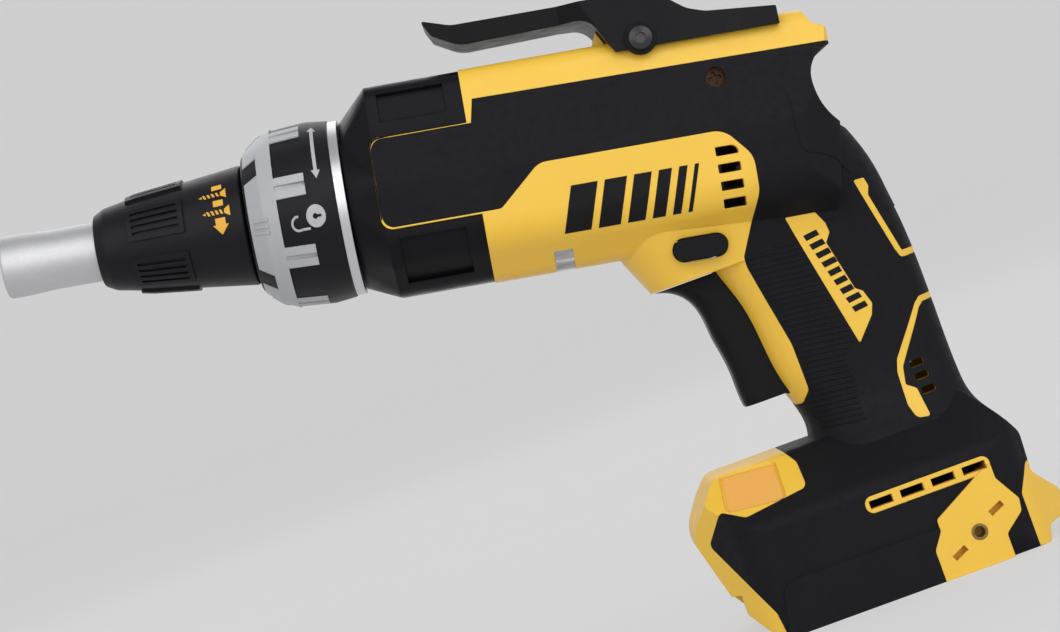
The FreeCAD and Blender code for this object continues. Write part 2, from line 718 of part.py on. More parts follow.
def foot(inset):
    """Foot from its side, plan and front outlines."""
    height = FOOT_HEIGHT - inset
    side = [(along * (FOOT_FRONT - inset), up * height, radius * height)
            for along, up, radius in FOOT_FRONT_SHARES]
    side += [(-along * (FOOT_BACK - inset), up * height, radius * height)
             for along, up, radius in FOOT_BACK_SHARES]
    half_width = FOOT_HALF_WIDTH - inset
    plan = []
    for along, across, radius in FOOT_PLAN_SHARES:
        length = FOOT_FRONT if along > 0 else FOOT_BACK
        plan.append((along * (length - inset), across * half_width, radius * half_width))
    plan += [(along, -across, radius) for along, across, radius in reversed(plan)]
    section = [(across * half_width, up * height, radius * half_width)
               for across, up, radius in FOOT_SECTION_SHARES]
    solid = prism_y(side, FOOT_HALF_WIDTH).common(prism_z(plan, -OVERRUN, FOOT_HEIGHT + OVERRUN))
    return solid.common(prism_x(mirrored(section), -REACH, REACH))


def saddle(inset):
    """Hollow behind the barrel for the web of the hand, tighter above its deepest line."""
    deepest = SADDLE_P + SADDLE_RADIUS
    lower = cross_rod(SADDLE_P, SADDLE_RISE, SADDLE_RADIUS + inset, -REACH, REACH)
    upper = cross_rod(deepest - SADDLE_TOP_RADIUS, SADDLE_RISE, SADDLE_TOP_RADIUS + inset, -REACH, REACH)
    below = box((-REACH, REACH), (-REACH, REACH), (-REACH, SADDLE_RISE))
    return lower.common(below).fuse(upper.cut(below))


def body(inset):
    """Whole housing outline, drawn in by the inset."""
    whole = tilt(barrel(inset)).multiFuse([handle(inset), foot(inset)])
    return whole.cut(tilt(saddle(inset)))


def shell_between(outer_inset, inner_inset, start, stop):
    """Skin of the barrel section between two insets."""
    outer = prism_x(section_corners(outer_inset), start, stop)
    return outer.cut(prism_x(section_corners(inner_inset), start - OVERRUN, stop + OVERRUN))


def tongue_zone():
    """Side outline of the panels that lap over the gear case, in the barrel frame."""
    back = HOUSING_FRONT_P - OVERRUN
    return prism_y([
        (TONGUE_FRONT_P, TONGUE_BOTTOM, TONGUE_ROUND), (TONGUE_FRONT_P, TONGUE_TOP, TONGUE_ROUND),
        (back, TONGUE_TOP, 0), (back, TONGUE_BOTTOM, 0)], REACH)


def panel_zone(line):
    """Side outline of the soft front panel, drawn in by the yellow line above, before and below it."""
    front = TONGUE_FRONT_P - line
    top = TONGUE_TOP - line
    bottom = TONGUE_BOTTOM + line
    return prism_y([
        (front, bottom, TONGUE_ROUND), (front, top, TONGUE_ROUND),
        (PANEL_BACK_TOP_P - line, top, 0), (PANEL_BACK_BOTTOM_P - line, bottom, 0)], REACH)


def tongues(inset, depth):
    """Panels on both sides in front of the housing, from one inset to another."""
    return shell_between(inset, depth, TONGUE_FRONT_P - OVERRUN - REACH, REACH).common(tongue_zone())


def foot_corners(shares, back=False):
    """Outline on the foot from shares of its length and height."""
    length = -FOOT_BACK if back else FOOT_FRONT
    return [(along * length, up * FOOT_HEIGHT, radius * FOOT_HEIGHT) for along, up, radius in shares]


def hook_plate_corners():
    """Side outline of the plates that carry a hook on the foot."""
    return [(along * HOOK_PLATE_LENGTH - HOOK_PLATE_BACK, up * HOOK_PLATE_HEIGHT, radius * HOOK_PLATE_LENGTH)
            for along, up, radius in HOOK_PLATE_SHARES]


def foot_panels():
    """Raised soft panels low on both sides of the foot."""
    panels = prism_y(foot_corners(FOOT_PANEL_SHARES), FOOT_HALF_WIDTH + FOOT_PANEL_PROUD)
    return panels.cut(box((-REACH, REACH), (-CHANNEL_HALF_WIDTH, CHANNEL_HALF_WIDTH), (-REACH, REACH)))


def foot_patches():
    """Shallow recesses on the shoulders of the foot."""
    half = [(along * FOOT_FRONT, across * FOOT_HALF_WIDTH, radius * FOOT_HALF_WIDTH)
            for along, across, radius in PATCH_SHARES]
    left = prism_z(half, CHANNEL_TOP, FOOT_HEIGHT + OVERRUN)
    both = left.fuse(left.mirror(V(0, 0, 0), V(0, 1, 0)))
    return both.cut(foot(PATCH_DEPTH))


def hook_slots():
    """Slanted slots beside the threaded insert in the plates of the foot."""
    lean = math.radians(HOOK_SLOT_TILT)
    slots = []
    for along, up in HOOK_SLOT_SHARES:
        x = along * HOOK_PLATE_LENGTH - HOOK_PLATE_BACK
        z = up * HOOK_PLATE_HEIGHT
        corners = []
        for end, side in ((1, -1), (1, 1), (-1, 1), (-1, -1)):
            length = end * HOOK_SLOT_LENGTH / 2
            width = side * HOOK_SLOT_WIDTH / 2
            corners.append((x + length * math.cos(lean) + width * math.sin(lean),
                            z - length * math.sin(lean) + width * math.cos(lean), 0))
        slots.append(prism_y(corners, REACH))
    floor = FOOT_HALF_WIDTH + HOOK_PLATE_PROUD - HOOK_SLOT_DEPTH
    middle = box((-REACH, REACH), (-floor, floor), (-REACH, REACH))
    return [slot.cut(middle) for slot in slots]


def handle_corners(shares):
    """Outline on the handle from shares of its depth and height."""
    rise = CHIN_Z - HANDLE_BASE_Z
    return [(HANDLE_X + along * HANDLE_DEPTH, HANDLE_BASE_Z + up * rise, radius * rise)
            for along, up, radius in shares]


def trigger_height():
    """Height of the trigger below the chin."""
    return CHIN_Z - MOVING_GAP - TRIGGER_BOTTOM_Z


def bare_zones():
    """Prisms in which the yellow shell shows, in the shared frame."""
    top = [(HOUSING_FRONT_P + OVERRUN, REACH, 0), (-REACH, REACH, 0), (-REACH, STRIP_BACK_RISE, 0)]
    top += [(BARREL_BACK_P, STRIP_BACK_RISE, 0)]
    panel_top = TONGUE_TOP - PANEL_LINE
    top += [(HOUSING_FRONT_P - STRIP_LEG, STRIP_RISE, 0), (HOUSING_FRONT_P - STRIP_LEG_FOOT, panel_top, 0)]
    top += [(HOUSING_FRONT_P + OVERRUN, panel_top, 0)]
    panel_bottom = TONGUE_BOTTOM + PANEL_LINE
    plate = [(TONGUE_FRONT_P, panel_bottom, 0), (PLATE_CORNER_P, panel_bottom, PLATE_ROUND)]
    plate += [(along * BARREL_BACK_P, up * BARREL_DROP, radius * BARREL_DROP)
              for along, up, radius in PLATE_SHARES]
    line = panel_zone(0).cut(panel_zone(PANEL_LINE))
    edge = tongue_zone().cut(panel_zone(PANEL_LINE))
    edge = edge.cut(box((-REACH, HOUSING_FRONT_P), (-REACH, REACH), (-REACH, REACH)))
    zones = [tilt(zone) for zone in (prism_y(top, REACH), prism_y(plate, REACH), line, edge)]
    height = trigger_height()
    strip = [(HANDLE_X + along * HANDLE_DEPTH, TRIGGER_BOTTOM_Z + up * height, radius * height)
             for along, up, radius in TRIGGER_STRIP_SHARES]
    zones += [prism_y(strip, REACH)]
    zones += [prism_y(handle_corners(shares), REACH)
              for shares in (BADGE_SHARES, UPPER_STRIPE_SHARES, LOWER_STRIPE_SHARES)]
    zones += [prism_y(foot_corners(FOOT_FACE_SHARES), REACH)]
    zones += [prism_y(foot_corners(BUMPER_SHARES, True), REACH)]
    zones += [prism_y(hook_plate_corners(), REACH)]
    bar_top = BAR_BOTTOM + BAR_HEIGHT
    bar = [(BAR_FRONT, BAR_BOTTOM), (BAR_FRONT, bar_top), (-BAR_BACK, bar_top), (-BAR_BACK, BAR_BOTTOM)]
    zones += [prism_y([(x, z, BAR_ROUND) for x, z in bar], REACH)]
    return zones


def screw_places():
    """Places (x, z, side, seat) of the clamshell screws in the shared frame."""
    places = []
    for along, up, side in BARREL_SCREW_SHARES:
        height = BARREL_RISE if up > 0 else BARREL_DROP
        point = BARREL_PLACE.multVec(V(along * BARREL_BACK_P, 0, up * height))
        places.append((point.x, point.z, side, BARREL_HALF_WIDTH - BARREL_SEAT_DEPTH))
    for along, up, side in HANDLE_SCREW_SHARES:
        z = HANDLE_BASE_Z + up * (CHIN_Z - HANDLE_BASE_Z)
        places.append((HANDLE_X + along * HANDLE_DEPTH, z, side, HANDLE_HALF_WIDTH - HANDLE_SEAT_DEPTH))
    for along, up, side in FOOT_SCREW_SHARES:
        length = FOOT_FRONT if along > 0 else FOOT_BACK
        places.append((along * length, up * FOOT_HEIGHT, side, FOOT_HALF_WIDTH - FOOT_SEAT_DEPTH))
    return places


def screw(place, extra=0):
    """One clamshell screw, or its hole with the extra radius."""
    x, z, side, seat = place
    shank = cross_rod(x, z, SCREW_RADIUS + extra, -SCREW_GRIP, seat + SCREW_HEAD_HEIGHT)
    top = seat + SCREW_HEAD_HEIGHT
    head = cross_rod(x, z, SCREW_HEAD_RADIUS, seat, top)
    depth = (top - SCREW_RECESS_DEPTH, top + OVERRUN)
    half = SCREW_RECESS_LENGTH / 2
    narrow = SCREW_RECESS_WIDTH / 2
    cross = box((x - half, x + half), depth, (z - narrow, z + narrow))
    cross = cross.fuse(box((x - narrow, x + narrow), depth, (z - half, z + half)))
    solid = shank if extra > 0 else joined([shank, head]).cut(cross)
    return solid if side > 0 else solid.mirror(V(0, 0, 0), V(0, 1, 0))


def screw_wells(radius):
    """Round wells down to the screw seats."""
    wells = []
    for x, z, side, seat in screw_places():
        well = cross_rod(x, z, radius, seat, REACH)
        wells.append(well if side > 0 else well.mirror(V(0, 0, 0), V(0, 1, 0)))
    return wells


def slot_corners(x, z, length, height, radius):
    """Rounded slot about its middle."""
    return [(x + along * length / 2, z + up * height / 2, radius)
            for along, up in ((1, -1), (1, 1), (-1, 1), (-1, -1))]


def vents():
    """Slots beside the fan, in the handle and in the bar on the foot, through both sides."""
    slots = []
    for index in range(VENT_COUNT):
        rise = VENT_TOP - index * VENT_PITCH
        corners = slot_corners(VENT_P, rise, VENT_LENGTH, VENT_HEIGHT, VENT_ROUND)
        if index == 0:
            along, up, radius = corners[2]
            corners[2] = (along, up, VENT_CORNER)
        slots.append(tilt(prism_y(corners, REACH)))
    for x, z, radius in handle_corners([(along, up, 0) for along, up in HANDLE_VENT_SHARES]):
        corners = slot_corners(x, z, HANDLE_VENT_LENGTH, HANDLE_VENT_HEIGHT, HANDLE_VENT_ROUND)
        slots.append(prism_y(corners, REACH))
    bridges = (BAR_SLOTS - 1) * BAR_BRIDGE
    opening = (BAR_FRONT + BAR_BACK - 2 * BAR_RIM - bridges) / BAR_SLOTS
    heights = (BAR_BOTTOM + BAR_RIM, BAR_BOTTOM + BAR_HEIGHT - BAR_RIM)
    for index in range(BAR_SLOTS):
        start = BAR_RIM - BAR_BACK + index * (opening + BAR_BRIDGE)
        slots.append(box((start, start + opening), (-REACH, REACH), heights))
    return slots


def battery_channel():
    """Slot for the battery rails, open to the front and below."""
    upper = box((-CHANNEL_BACK, REACH), (-CHANNEL_HALF_WIDTH, CHANNEL_HALF_WIDTH), (RAIL_HEIGHT, CHANNEL_TOP))
    mouth = box((-CHANNEL_BACK, REACH), (-MOUTH_HALF_WIDTH, MOUTH_HALF_WIDTH), (-OVERRUN, RAIL_HEIGHT))
    return upper.fuse(mouth)


def terminal_block_form(gap):
    """Block of the battery terminals, grown by a gap for its opening."""
    half = BLOCK_HALF_WIDTH + gap
    back = -CHANNEL_BACK + OVERRUN - gap
    front = back + BLOCK_LENGTH + 2 * gap
    return rounded_block((back, front), half, (BLOCK_BOTTOM_Z, CHANNEL_TOP + CHANNEL_FLOOR), BLOCK_ROUND)


def button_form(gap):
    """Stadium-shaped bar of the direction button in the barrel frame."""
    half = BUTTON_HEIGHT / 2 + gap
    length = BUTTON_LENGTH / 2 + gap
    turn = half - SEAT_GAP
    corners = [(BUTTON_P + length, BUTTON_RISE - half, turn), (BUTTON_P + length, BUTTON_RISE + half, turn),
               (BUTTON_P - length, BUTTON_RISE + half, turn), (BUTTON_P - length, BUTTON_RISE - half, turn)]
    return prism_y(corners, BUTTON_HALF_WIDTH if gap == 0 else REACH)


def trigger_wire(up, along):
    """Level section of the trigger with rounded finger corners."""
    z = TRIGGER_BOTTOM_Z + up * trigger_height()
    front = TRIGGER_BACK_X + along * TRIGGER_REACH
    half = TRIGGER_HALF_WIDTH
    corners = [(front, -half, TRIGGER_ROUND), (front, half, TRIGGER_ROUND)]
    corners += [(TRIGGER_BACK_X, half, TRIGGER_BACK_ROUND), (TRIGGER_BACK_X, -half, TRIGGER_BACK_ROUND)]
    return rounded_wire(corners, lambda u, v: V(u, v, z))


def led_form(gap):
    """Window of the work light in the barrel frame, across the underside and up both lower edges."""
    half = LED_LENGTH / 2 + gap
    return box((LED_P - half, LED_P + half), (-LED_HALF_WIDTH - gap, LED_HALF_WIDTH + gap),
               (-BARREL_DROP, -BARREL_DROP + LED_RISE + gap))


def rounded_block(x_range, half_width, z_range, radius):
    """Block with rounded upright edges."""
    corners = [(x_range[1], -half_width, radius), (x_range[1], half_width, radius),
               (x_range[0], half_width, radius), (x_range[0], -half_width, radius)]
    return prism_z(corners, *z_range)


def switch_form(gap):
    """Switch body behind the trigger, grown by a gap for its seat."""
    lengths = (SWITCH_FRONT_X - SWITCH_LENGTH - gap, SWITCH_FRONT_X)
    heights = (SWITCH_BOTTOM_Z - gap, SWITCH_BOTTOM_Z + SWITCH_HEIGHT + gap)
    return rounded_block(lengths, SWITCH_HALF_WIDTH + gap, heights, SWITCH_ROUND)


def housing():
    """Shell and soft grip of the whole clamshell, before it is parted."""
    outer = body(0).multiFuse([tilt(tongues(0, TONGUE)), foot_panels()])
    core = body(RUBBER).fuse(tilt(tongues(RUBBER, TONGUE)))
    grip = outer.cut(core)
    for zone in bare_zones():
        grip = grip.cut(zone)
    depth = RUBBER + WALL
    cavity = body(depth).cut(box((-REACH, REACH), (-REACH, REACH), (-REACH, CHANNEL_TOP + CHANNEL_FLOOR)))
    shell = outer.cut(grip).cut(cavity)
    ribs = []
    for share in RIB_SHARES:
        start = STATOR_BACK_P + share * STATOR_LENGTH - RIB / 2
        slab = prism_x(section_corners(depth), start, start + RIB)
        bore = rod(STATOR_RADIUS + SEAT_GAP, start - OVERRUN, start + RIB + OVERRUN, -MOTOR_DROP)
        ribs.append(tilt(slab.cut(bore)))
    seat_half = BEARING_RADIUS + BEARING_SEAT_WALL
    seat = prism_x(section_corners(depth), REAR_BEARING_BACK_P, REAR_BEARING_BACK_P + BEARING_LENGTH)
    heights = (-MOTOR_DROP - seat_half, -MOTOR_DROP + seat_half)
    seat = seat.common(box((-REACH, REACH), (-REACH, REACH), heights))
    ribs.append(tilt(seat.cut(rod(BEARING_RADIUS + SEAT_GAP, -REACH, REACH, -MOTOR_DROP))))
    for share in SWITCH_RIB_SHARES:
        bottom = SWITCH_BOTTOM_Z + share * SWITCH_HEIGHT
        slab = cavity.common(box((-REACH, SWITCH_FRONT_X), (-REACH, REACH), (bottom, bottom + RIB)))
        ribs.append(slab.cut(switch_form(SEAT_GAP)))
    core_form = body(RUBBER)
    bosses = [cross_rod(x, z, SCREW_BOSS_RADIUS, -REACH, REACH) for x, z, side, seat in screw_places()]
    bosses = [boss.common(core_form) for boss in bosses]
    plates = prism_y(hook_plate_corners(), FOOT_HALF_WIDTH + HOOK_PLATE_PROUD)
    plates = plates.cut(box((-REACH, REACH), (-CHANNEL_HALF_WIDTH, CHANNEL_HALF_WIDTH), (-REACH, REACH)))
    shell = shell.multiFuse(ribs + bosses + [plates, tilt(hook_stop())])
    openings = vents()
    holes = screw_wells(SCREW_HEAD_RADIUS + RUNNING_GAP) + openings
    grip = grip.cut(holes[0].multiFuse(holes[1:]))
    cuts = screw_wells(SCREW_WELL_RADIUS) + openings
    cuts += [screw(place, SEAT_GAP) for place in screw_places()] + hook_slots() + [foot_patches()]
    cuts += [battery_channel(), terminal_block_form(SEAT_GAP)]
    cuts += [tilt(button_form(MOVING_GAP)), tilt(led_form(SEAT_GAP))]
    half = TRIGGER_HALF_WIDTH + MOVING_GAP
    heights = (TRIGGER_BOTTOM_Z - MOVING_GAP, CHIN_Z - SEAT_GAP)
    cuts.append(box((SWITCH_FRONT_X, REACH), (-half, half), heights))
    for side in (-1, 1):
        mouth = side * (FOOT_HALF_WIDTH + HOOK_PLATE_PROUD)
        ends = sorted((mouth, mouth - side * INSERT_LENGTH))
        cuts.append(cross_rod(INSERT_X, INSERT_Z, INSERT_RADIUS + SEAT_GAP, *ends))
    hook_hole = cross_rod(HOOK_SCREW_P, HOOK_SCREW_RISE, HOOK_SCREW_RADIUS + SEAT_GAP, -REACH, REACH)
    boss_holes = cross_rod(HOOK_SCREW_P, HOOK_SCREW_RISE, HOOK_BOSS_RADIUS + SEAT_GAP, -REACH, REACH)
    inner = boss_half_width()
    boss_holes = boss_holes.cut(box((-REACH, REACH), (-inner, inner), (-REACH, REACH)))
    cuts += [tilt(hook_hole), tilt(boss_holes)]
    return shell.cut(cuts[0].multiFuse(cuts[1:])), grip


def parted(shape):
    """Left and right halves of a shape."""
    left = box((-REACH, REACH), (0, REACH), (-REACH, REACH))
    right = box((-REACH, REACH), (-REACH, 0), (-REACH, REACH))
    return shape.common(left), shape.common(right)


# Front group
def gear_case():
    """Front casing with its snout and the spigot inside the housing."""
    case = prism_x(section_corners(CASE_STEP), HOUSING_FRONT_P, CASE_SHOULDER_P)
    radius = CASE_FRONT_RADIUS
    half = [(OCTAGON_SHARE * radius, -radius), (radius, -OCTAGON_SHARE * radius)]
    half += [(radius, OCTAGON_SHARE * radius), (OCTAGON_SHARE * radius, radius)]
    front = mirrored([(across, up, CASE_ROUND_SHARE * radius) for across, up in half])
    wires = [rounded_wire(section_corners(CASE_STEP), lambda u, v: V(CASE_SHOULDER_P, u, v)),
             rounded_wire(front, lambda u, v: V(CASE_FRONT_P, u, v))]
    nose = Part.makeLoft(wires, True, True)
    fit = RUBBER + WALL + SEAT_GAP
    spigot = prism_x(section_corners(fit), HOUSING_FRONT_P - SPIGOT_LENGTH, HOUSING_FRONT_P)
    snout = turned([
        (CASE_FRONT_P, 0, 0), (CASE_FRONT_P, SNOUT_RADIUS, 0), (SNOUT_STEP_P, SNOUT_RADIUS, 0),
        (SNOUT_STEP_P, NECK_RADIUS, 0), (NECK_FRONT_P, NECK_RADIUS, 0), (NECK_FRONT_P, 0, 0)])
    case = case.multiFuse([nose, spigot, snout])
    groove = tube(NECK_RADIUS + OVERRUN, NECK_RADIUS - CLIP_DEPTH, CLIP_P, CLIP_P + CLIP_WIDTH)
    chamber_front = SPINDLE_BEARING_BACK_P
    bearing_front = SPINDLE_BEARING_BACK_P + SPINDLE_BEARING_LENGTH
    key_half = TUBE_KEY_WIDTH / 2 + RUNNING_GAP
    key_top = TUBE_RADIUS + TUBE_KEY_PROUD + RUNNING_GAP
    key_back = TUBE_KEY_BACK_P - TUBE_TRAVEL - MOVING_GAP
    cuts = [
        prism_x(section_corners(CASE_WALL), HOUSING_FRONT_P - SPIGOT_LENGTH - OVERRUN, CASE_WEB_P),
        rod(FLANGE_RADIUS + CHAMBER_GAP, CASE_WEB_P - OVERRUN, chamber_front),
        rod(SPINDLE_BEARING_RADIUS + SEAT_GAP, SPINDLE_BEARING_BACK_P - OVERRUN, bearing_front),
        rod(SEAL_RADIUS + SEAT_GAP, bearing_front - OVERRUN, bearing_front + SEAL_LENGTH),
        rod(SPINDLE_RADIUS + SHAFT_CLEARANCE, CASE_WEB_P, NECK_FRONT_P),
        rod(TUBE_RADIUS + RUNNING_GAP, TUBE_POCKET_P, NECK_FRONT_P + OVERRUN),
        box((key_back, NECK_FRONT_P + OVERRUN), (-key_half, key_half), (0, key_top)),
        groove,
        tongues(-OVERRUN, TONGUE),
    ]
    panels = (CASE_PANEL_BACK_P, CASE_PANEL_FRONT_P)
    skin = shell_between(-OVERRUN, CASE_STEP + CASE_PANEL_DEPTH, *panels)
    for low, high in CASE_PANEL_RISE_SHARES:
        height = BARREL_RISE if low > 0 else BARREL_DROP
        cuts.append(skin.common(box(panels, (-REACH, REACH), (low * height, high * height))))
    return case.cut(cuts[0].multiFuse(cuts[1:])).removeSplitter()


def collar_clip():
    """Split spring clip that keeps the depth collar on the neck."""
    inner = NECK_RADIUS - CLIP_DEPTH + SEAT_GAP
    ring = tube(NECK_RADIUS + CLIP_PROUD, inner, CLIP_P + SEAT_GAP, CLIP_P + CLIP_WIDTH - SEAT_GAP)
    return ring.cut(wedge(REACH, CLIP_GAP_ANGLE, CLIP_P - OVERRUN, CLIP_P + CLIP_WIDTH + OVERRUN))


def ring_profile(offset):
    """Outer line of the lock ring, grown by an offset, closed at its bore."""
    bore = SNOUT_RADIUS + RUNNING_GAP
    outer = [(along * RING_FRONT_P, across * RING_BACK_RADIUS + offset, radius * RING_BACK_RADIUS)
             for along, across, radius in RING_SHARES]
    return [(0, bore, 0)] + outer + [(RING_FRONT_P, bore, 0)]


def ring_grip_zone():
    """Zig-zag of the soft grip: a notched front band with lugs that run back."""
    band = rod(REACH, BAND_BACK_P, BAND_FRONT_P)
    notch = box((NOTCH_BACK_P, REACH), (-NOTCH_WIDTH / 2, NOTCH_WIDTH / 2), (0, REACH))
    lug = box((LUG_BACK_P, BAND_BACK_P + OVERRUN), (-LUG_WIDTH / 2, LUG_WIDTH / 2), (0, REACH))
    half_pitch = 180 / LUG_COUNT
    zone = band.multiFuse(around(lug, LUG_COUNT, LUG_PHASE))
    notches = around(notch, NOTCH_COUNT, LUG_PHASE + half_pitch)
    return zone.cut(notches[0].multiFuse(notches[1:]))


def lock_ring_pieces():
    """Black ring, its silver grip and the silver band behind it."""
    base = turned(ring_profile(0))
    skin = turned(ring_profile(RING_SKIN_PROUD)).cut(turned(ring_profile(-RING_SKIN)))
    grip = skin.common(ring_grip_zone())
    groove = box((LUG_BACK_P, BAND_BACK_P), (-LUG_GROOVE / 2, LUG_GROOVE / 2), (RING_BACK_RADIUS, REACH))
    grooves = around(groove, LUG_COUNT, LUG_PHASE)
    ring = base.cut(skin.common(ring_grip_zone()))
    trim_back = -TRIM_LENGTH
    trim = tube(TRIM_RADIUS, TRIM_RADIUS - TRIM_WALL, trim_back, 0)
    return ring, grip.cut(grooves[0].multiFuse(grooves[1:])), trim


def collar_profile(offset):
    """Outer line of the depth collar, grown by an offset, closed at its two bores."""
    length = COLLAR_FRONT_P - COLLAR_BACK_P
    base = COLLAR_BACK_RADIUS
    outer = [(COLLAR_BACK_P + along * length, across * base + offset, radius * base)
             for along, across, radius in COLLAR_SHARES]
    neck = NECK_RADIUS + RUNNING_GAP
    bore = TUBE_RADIUS + RUNNING_GAP
    step = NECK_FRONT_P + MOVING_GAP
    return [(COLLAR_BACK_P, neck, 0)] + outer + [(COLLAR_FRONT_P, bore, 0), (step, bore, 0), (step, neck, 0)]


def depth_collar():
    """Tapered collar with grooved grip pads and a groove for the clip."""
    collar = turned(collar_profile(0))
    ring = turned(collar_profile(PAD_PROUD)).cut(turned(collar_profile(-PAD_ROOT)))
    pad = ring.common(wedge(REACH, PAD_ANGLE, PAD_BACK_P, PAD_FRONT_P))
    ends = (PAD_BACK_P + PAD_EDGE, PAD_FRONT_P - PAD_EDGE)
    slot = ring.cut(collar).common(wedge(REACH, PAD_GROOVE_ANGLE, *ends))
    turns = [(index - (PAD_GROOVES - 1) / 2) * PAD_GROOVE_PITCH for index in range(PAD_GROOVES)]
    slots = [spun(slot, turn) for turn in turns]
    pads = around(pad.cut(slots[0].multiFuse(slots[1:])), PAD_COUNT, PAD_PHASE)
    groove = rod(NECK_RADIUS + CLIP_PROUD + MOVING_GAP, CLIP_P - MOVING_GAP, CLIP_P + CLIP_WIDTH + MOVING_GAP)
    return collar.multiFuse(pads).cut(groove).removeSplitter()


def nose_tube():
    """Nose with a flared tip, a through bore and the key that stops it turning."""
    tube_form = turned([
        (TUBE_BACK_P, TUBE_BORE_RADIUS, 0), (TUBE_BACK_P, TUBE_RADIUS, 0), (TUBE_FLARE_P, TUBE_RADIUS, 0),
        (TUBE_FLARED_P, TUBE_TIP_RADIUS, 0), (TUBE_TIP_P, TUBE_TIP_RADIUS, TUBE_TIP_ROUND),
        (TUBE_TIP_P, TUBE_BORE_RADIUS, TUBE_TIP_ROUND)])
    half = TUBE_KEY_WIDTH / 2
    key_length = (TUBE_KEY_BACK_P, TUBE_KEY_BACK_P + TUBE_KEY_LENGTH)
    key = box(key_length, (-half, half), (TUBE_BORE_RADIUS, TUBE_RADIUS + TUBE_KEY_PROUD))
    return joined([tube_form, key.cut(rod(TUBE_BORE_RADIUS, -REACH, REACH))])


# Spindle group
def dogs(start, stop, phase):
    """Clutch dogs spread about the spindle axis."""
    ring = tube(DOG_OUTER_RADIUS, DOG_INNER_RADIUS, start, stop)
    return [ring.common(sector) for sector in around(wedge(REACH, DOG_ANGLE, start, stop), DOG_COUNT, phase)]


def spindle():
    """Stepped spindle with the clutch flange and its dogs."""
    flange_front = FLANGE_BACK_P + FLANGE_LENGTH
    shaft = turned([
        (SPINDLE_BACK_P, 0, 0), (SPINDLE_BACK_P, JOURNAL_RADIUS, 0), (FLANGE_BACK_P, JOURNAL_RADIUS, 0),
        (FLANGE_BACK_P, FLANGE_RADIUS, 0), (flange_front, FLANGE_RADIUS, 0),
        (flange_front, SPINDLE_RADIUS, 0),
        (SPINDLE_FRONT_P, SPINDLE_RADIUS, 0), (SPINDLE_FRONT_P, 0, 0)])
    half_pitch = 180 / DOG_COUNT
    return joined([shaft] + dogs(FLANGE_BACK_P - DOG_HEIGHT, FLANGE_BACK_P, half_pitch))


def bit_holder():
    """Magnetic holder on the spindle with a six-sided socket."""
    body_form = turned([
        (HOLDER_BACK_P, 0, 0), (HOLDER_BACK_P, HOLDER_RADIUS, HOLDER_ROUND),
        (HOLDER_FRONT_P, HOLDER_RADIUS, HOLDER_ROUND), (HOLDER_FRONT_P, 0, 0)])
    socket_back = HOLDER_FRONT_P - BIT_SOCKET_LENGTH
    cuts = [rod(SPINDLE_RADIUS, HOLDER_BACK_P - OVERRUN, SPINDLE_FRONT_P),
            hexagon_rod(BIT_FLATS + SEAT_GAP, socket_back, HOLDER_FRONT_P + OVERRUN),
            rod(MAGNET_RADIUS, socket_back - MAGNET_LENGTH, socket_back)]
    return body_form.cut(cuts[0].multiFuse(cuts[1:]))


def screw_bit():
    """Cross-point bit in the holder."""
    socket_back = HOLDER_FRONT_P - BIT_SOCKET_LENGTH
    cone_back = BIT_TIP_P - BIT_CONE
    shank = hexagon_rod(BIT_FLATS, socket_back, HOLDER_FRONT_P)
    point = turned([
        (HOLDER_FRONT_P, 0, 0), (HOLDER_FRONT_P, BIT_NECK_RADIUS, 0), (cone_back, BIT_NECK_RADIUS, 0),
        (BIT_TIP_P, BIT_POINT_RADIUS, 0), (BIT_TIP_P, 0, 0)])
    flute = box((cone_back, BIT_TIP_P + OVERRUN), (BIT_POINT_RADIUS / 2, BIT_POINT_RADIUS / 2 + BIT_FLUTE),
                (BIT_POINT_RADIUS / 2, REACH))
    flutes = around(flute, BIT_FLUTES)
    return joined([shank, point.cut(flutes[0].multiFuse(flutes[1:]))])


def drive_gear():
    """Spur gear that runs loose on the spindle, with dogs on its front face."""
    pitch_radius = MODULE * GEAR_TEETH / 2
    tip = pitch_radius + GEAR_ADDENDUM_SHARE * MODULE
    root = MOTOR_DROP - (MODULE * PINION_TEETH / 2 + MODULE) - ROOT_CLEARANCE
    face = gear_face(GEAR_TEETH, pitch_radius, tip, root, 180 + 180 / GEAR_TEETH)
    blank = face.extrude(V(GEAR_WIDTH, 0, 0))
    blank.translate(V(GEAR_BACK_P, 0, 0))
    blank = blank.cut(rod(JOURNAL_RADIUS + RUNNING_GAP, -REACH, REACH))
    front = GEAR_BACK_P + GEAR_WIDTH
    return blank.multiFuse(dogs(front, front + DOG_HEIGHT, 0))


def rotor_shaft():
    """Motor shaft with the pinion cut on its front end."""
    pitch_radius = MODULE * PINION_TEETH / 2
    tip = pitch_radius + MODULE
    root = MOTOR_DROP - (MODULE * GEAR_TEETH / 2 + GEAR_ADDENDUM_SHARE * MODULE) - ROOT_CLEARANCE
    length = GEAR_WIDTH + OVERRUN / 2 - MOVING_GAP
    pinion = gear_face(PINION_TEETH, pitch_radius, tip, root, 0).extrude(V(length, 0, 0))
    pinion.translate(V(GEAR_BACK_P - OVERRUN / 2, 0, -MOTOR_DROP))
    shaft = rod(SHAFT_RADIUS, SHAFT_BACK_P, GEAR_BACK_P - OVERRUN / 2, -MOTOR_DROP)
    return pinion.fuse(shaft)


def clutch_spring():
    """Spring between gear and flange that keeps the clutch open."""
    start = GEAR_BACK_P + GEAR_WIDTH + SEAT_GAP
    length = FLANGE_BACK_P - start - SEAT_GAP
    coil = coil_spring(SPRING_RADIUS, SPRING_WIRE_RADIUS, length, SPRING_TURNS)
    coil.rotate(V(0, 0, 0), V(0, 1, 0), 90)
    coil.translate(V(start, 0, 0))
    return coil


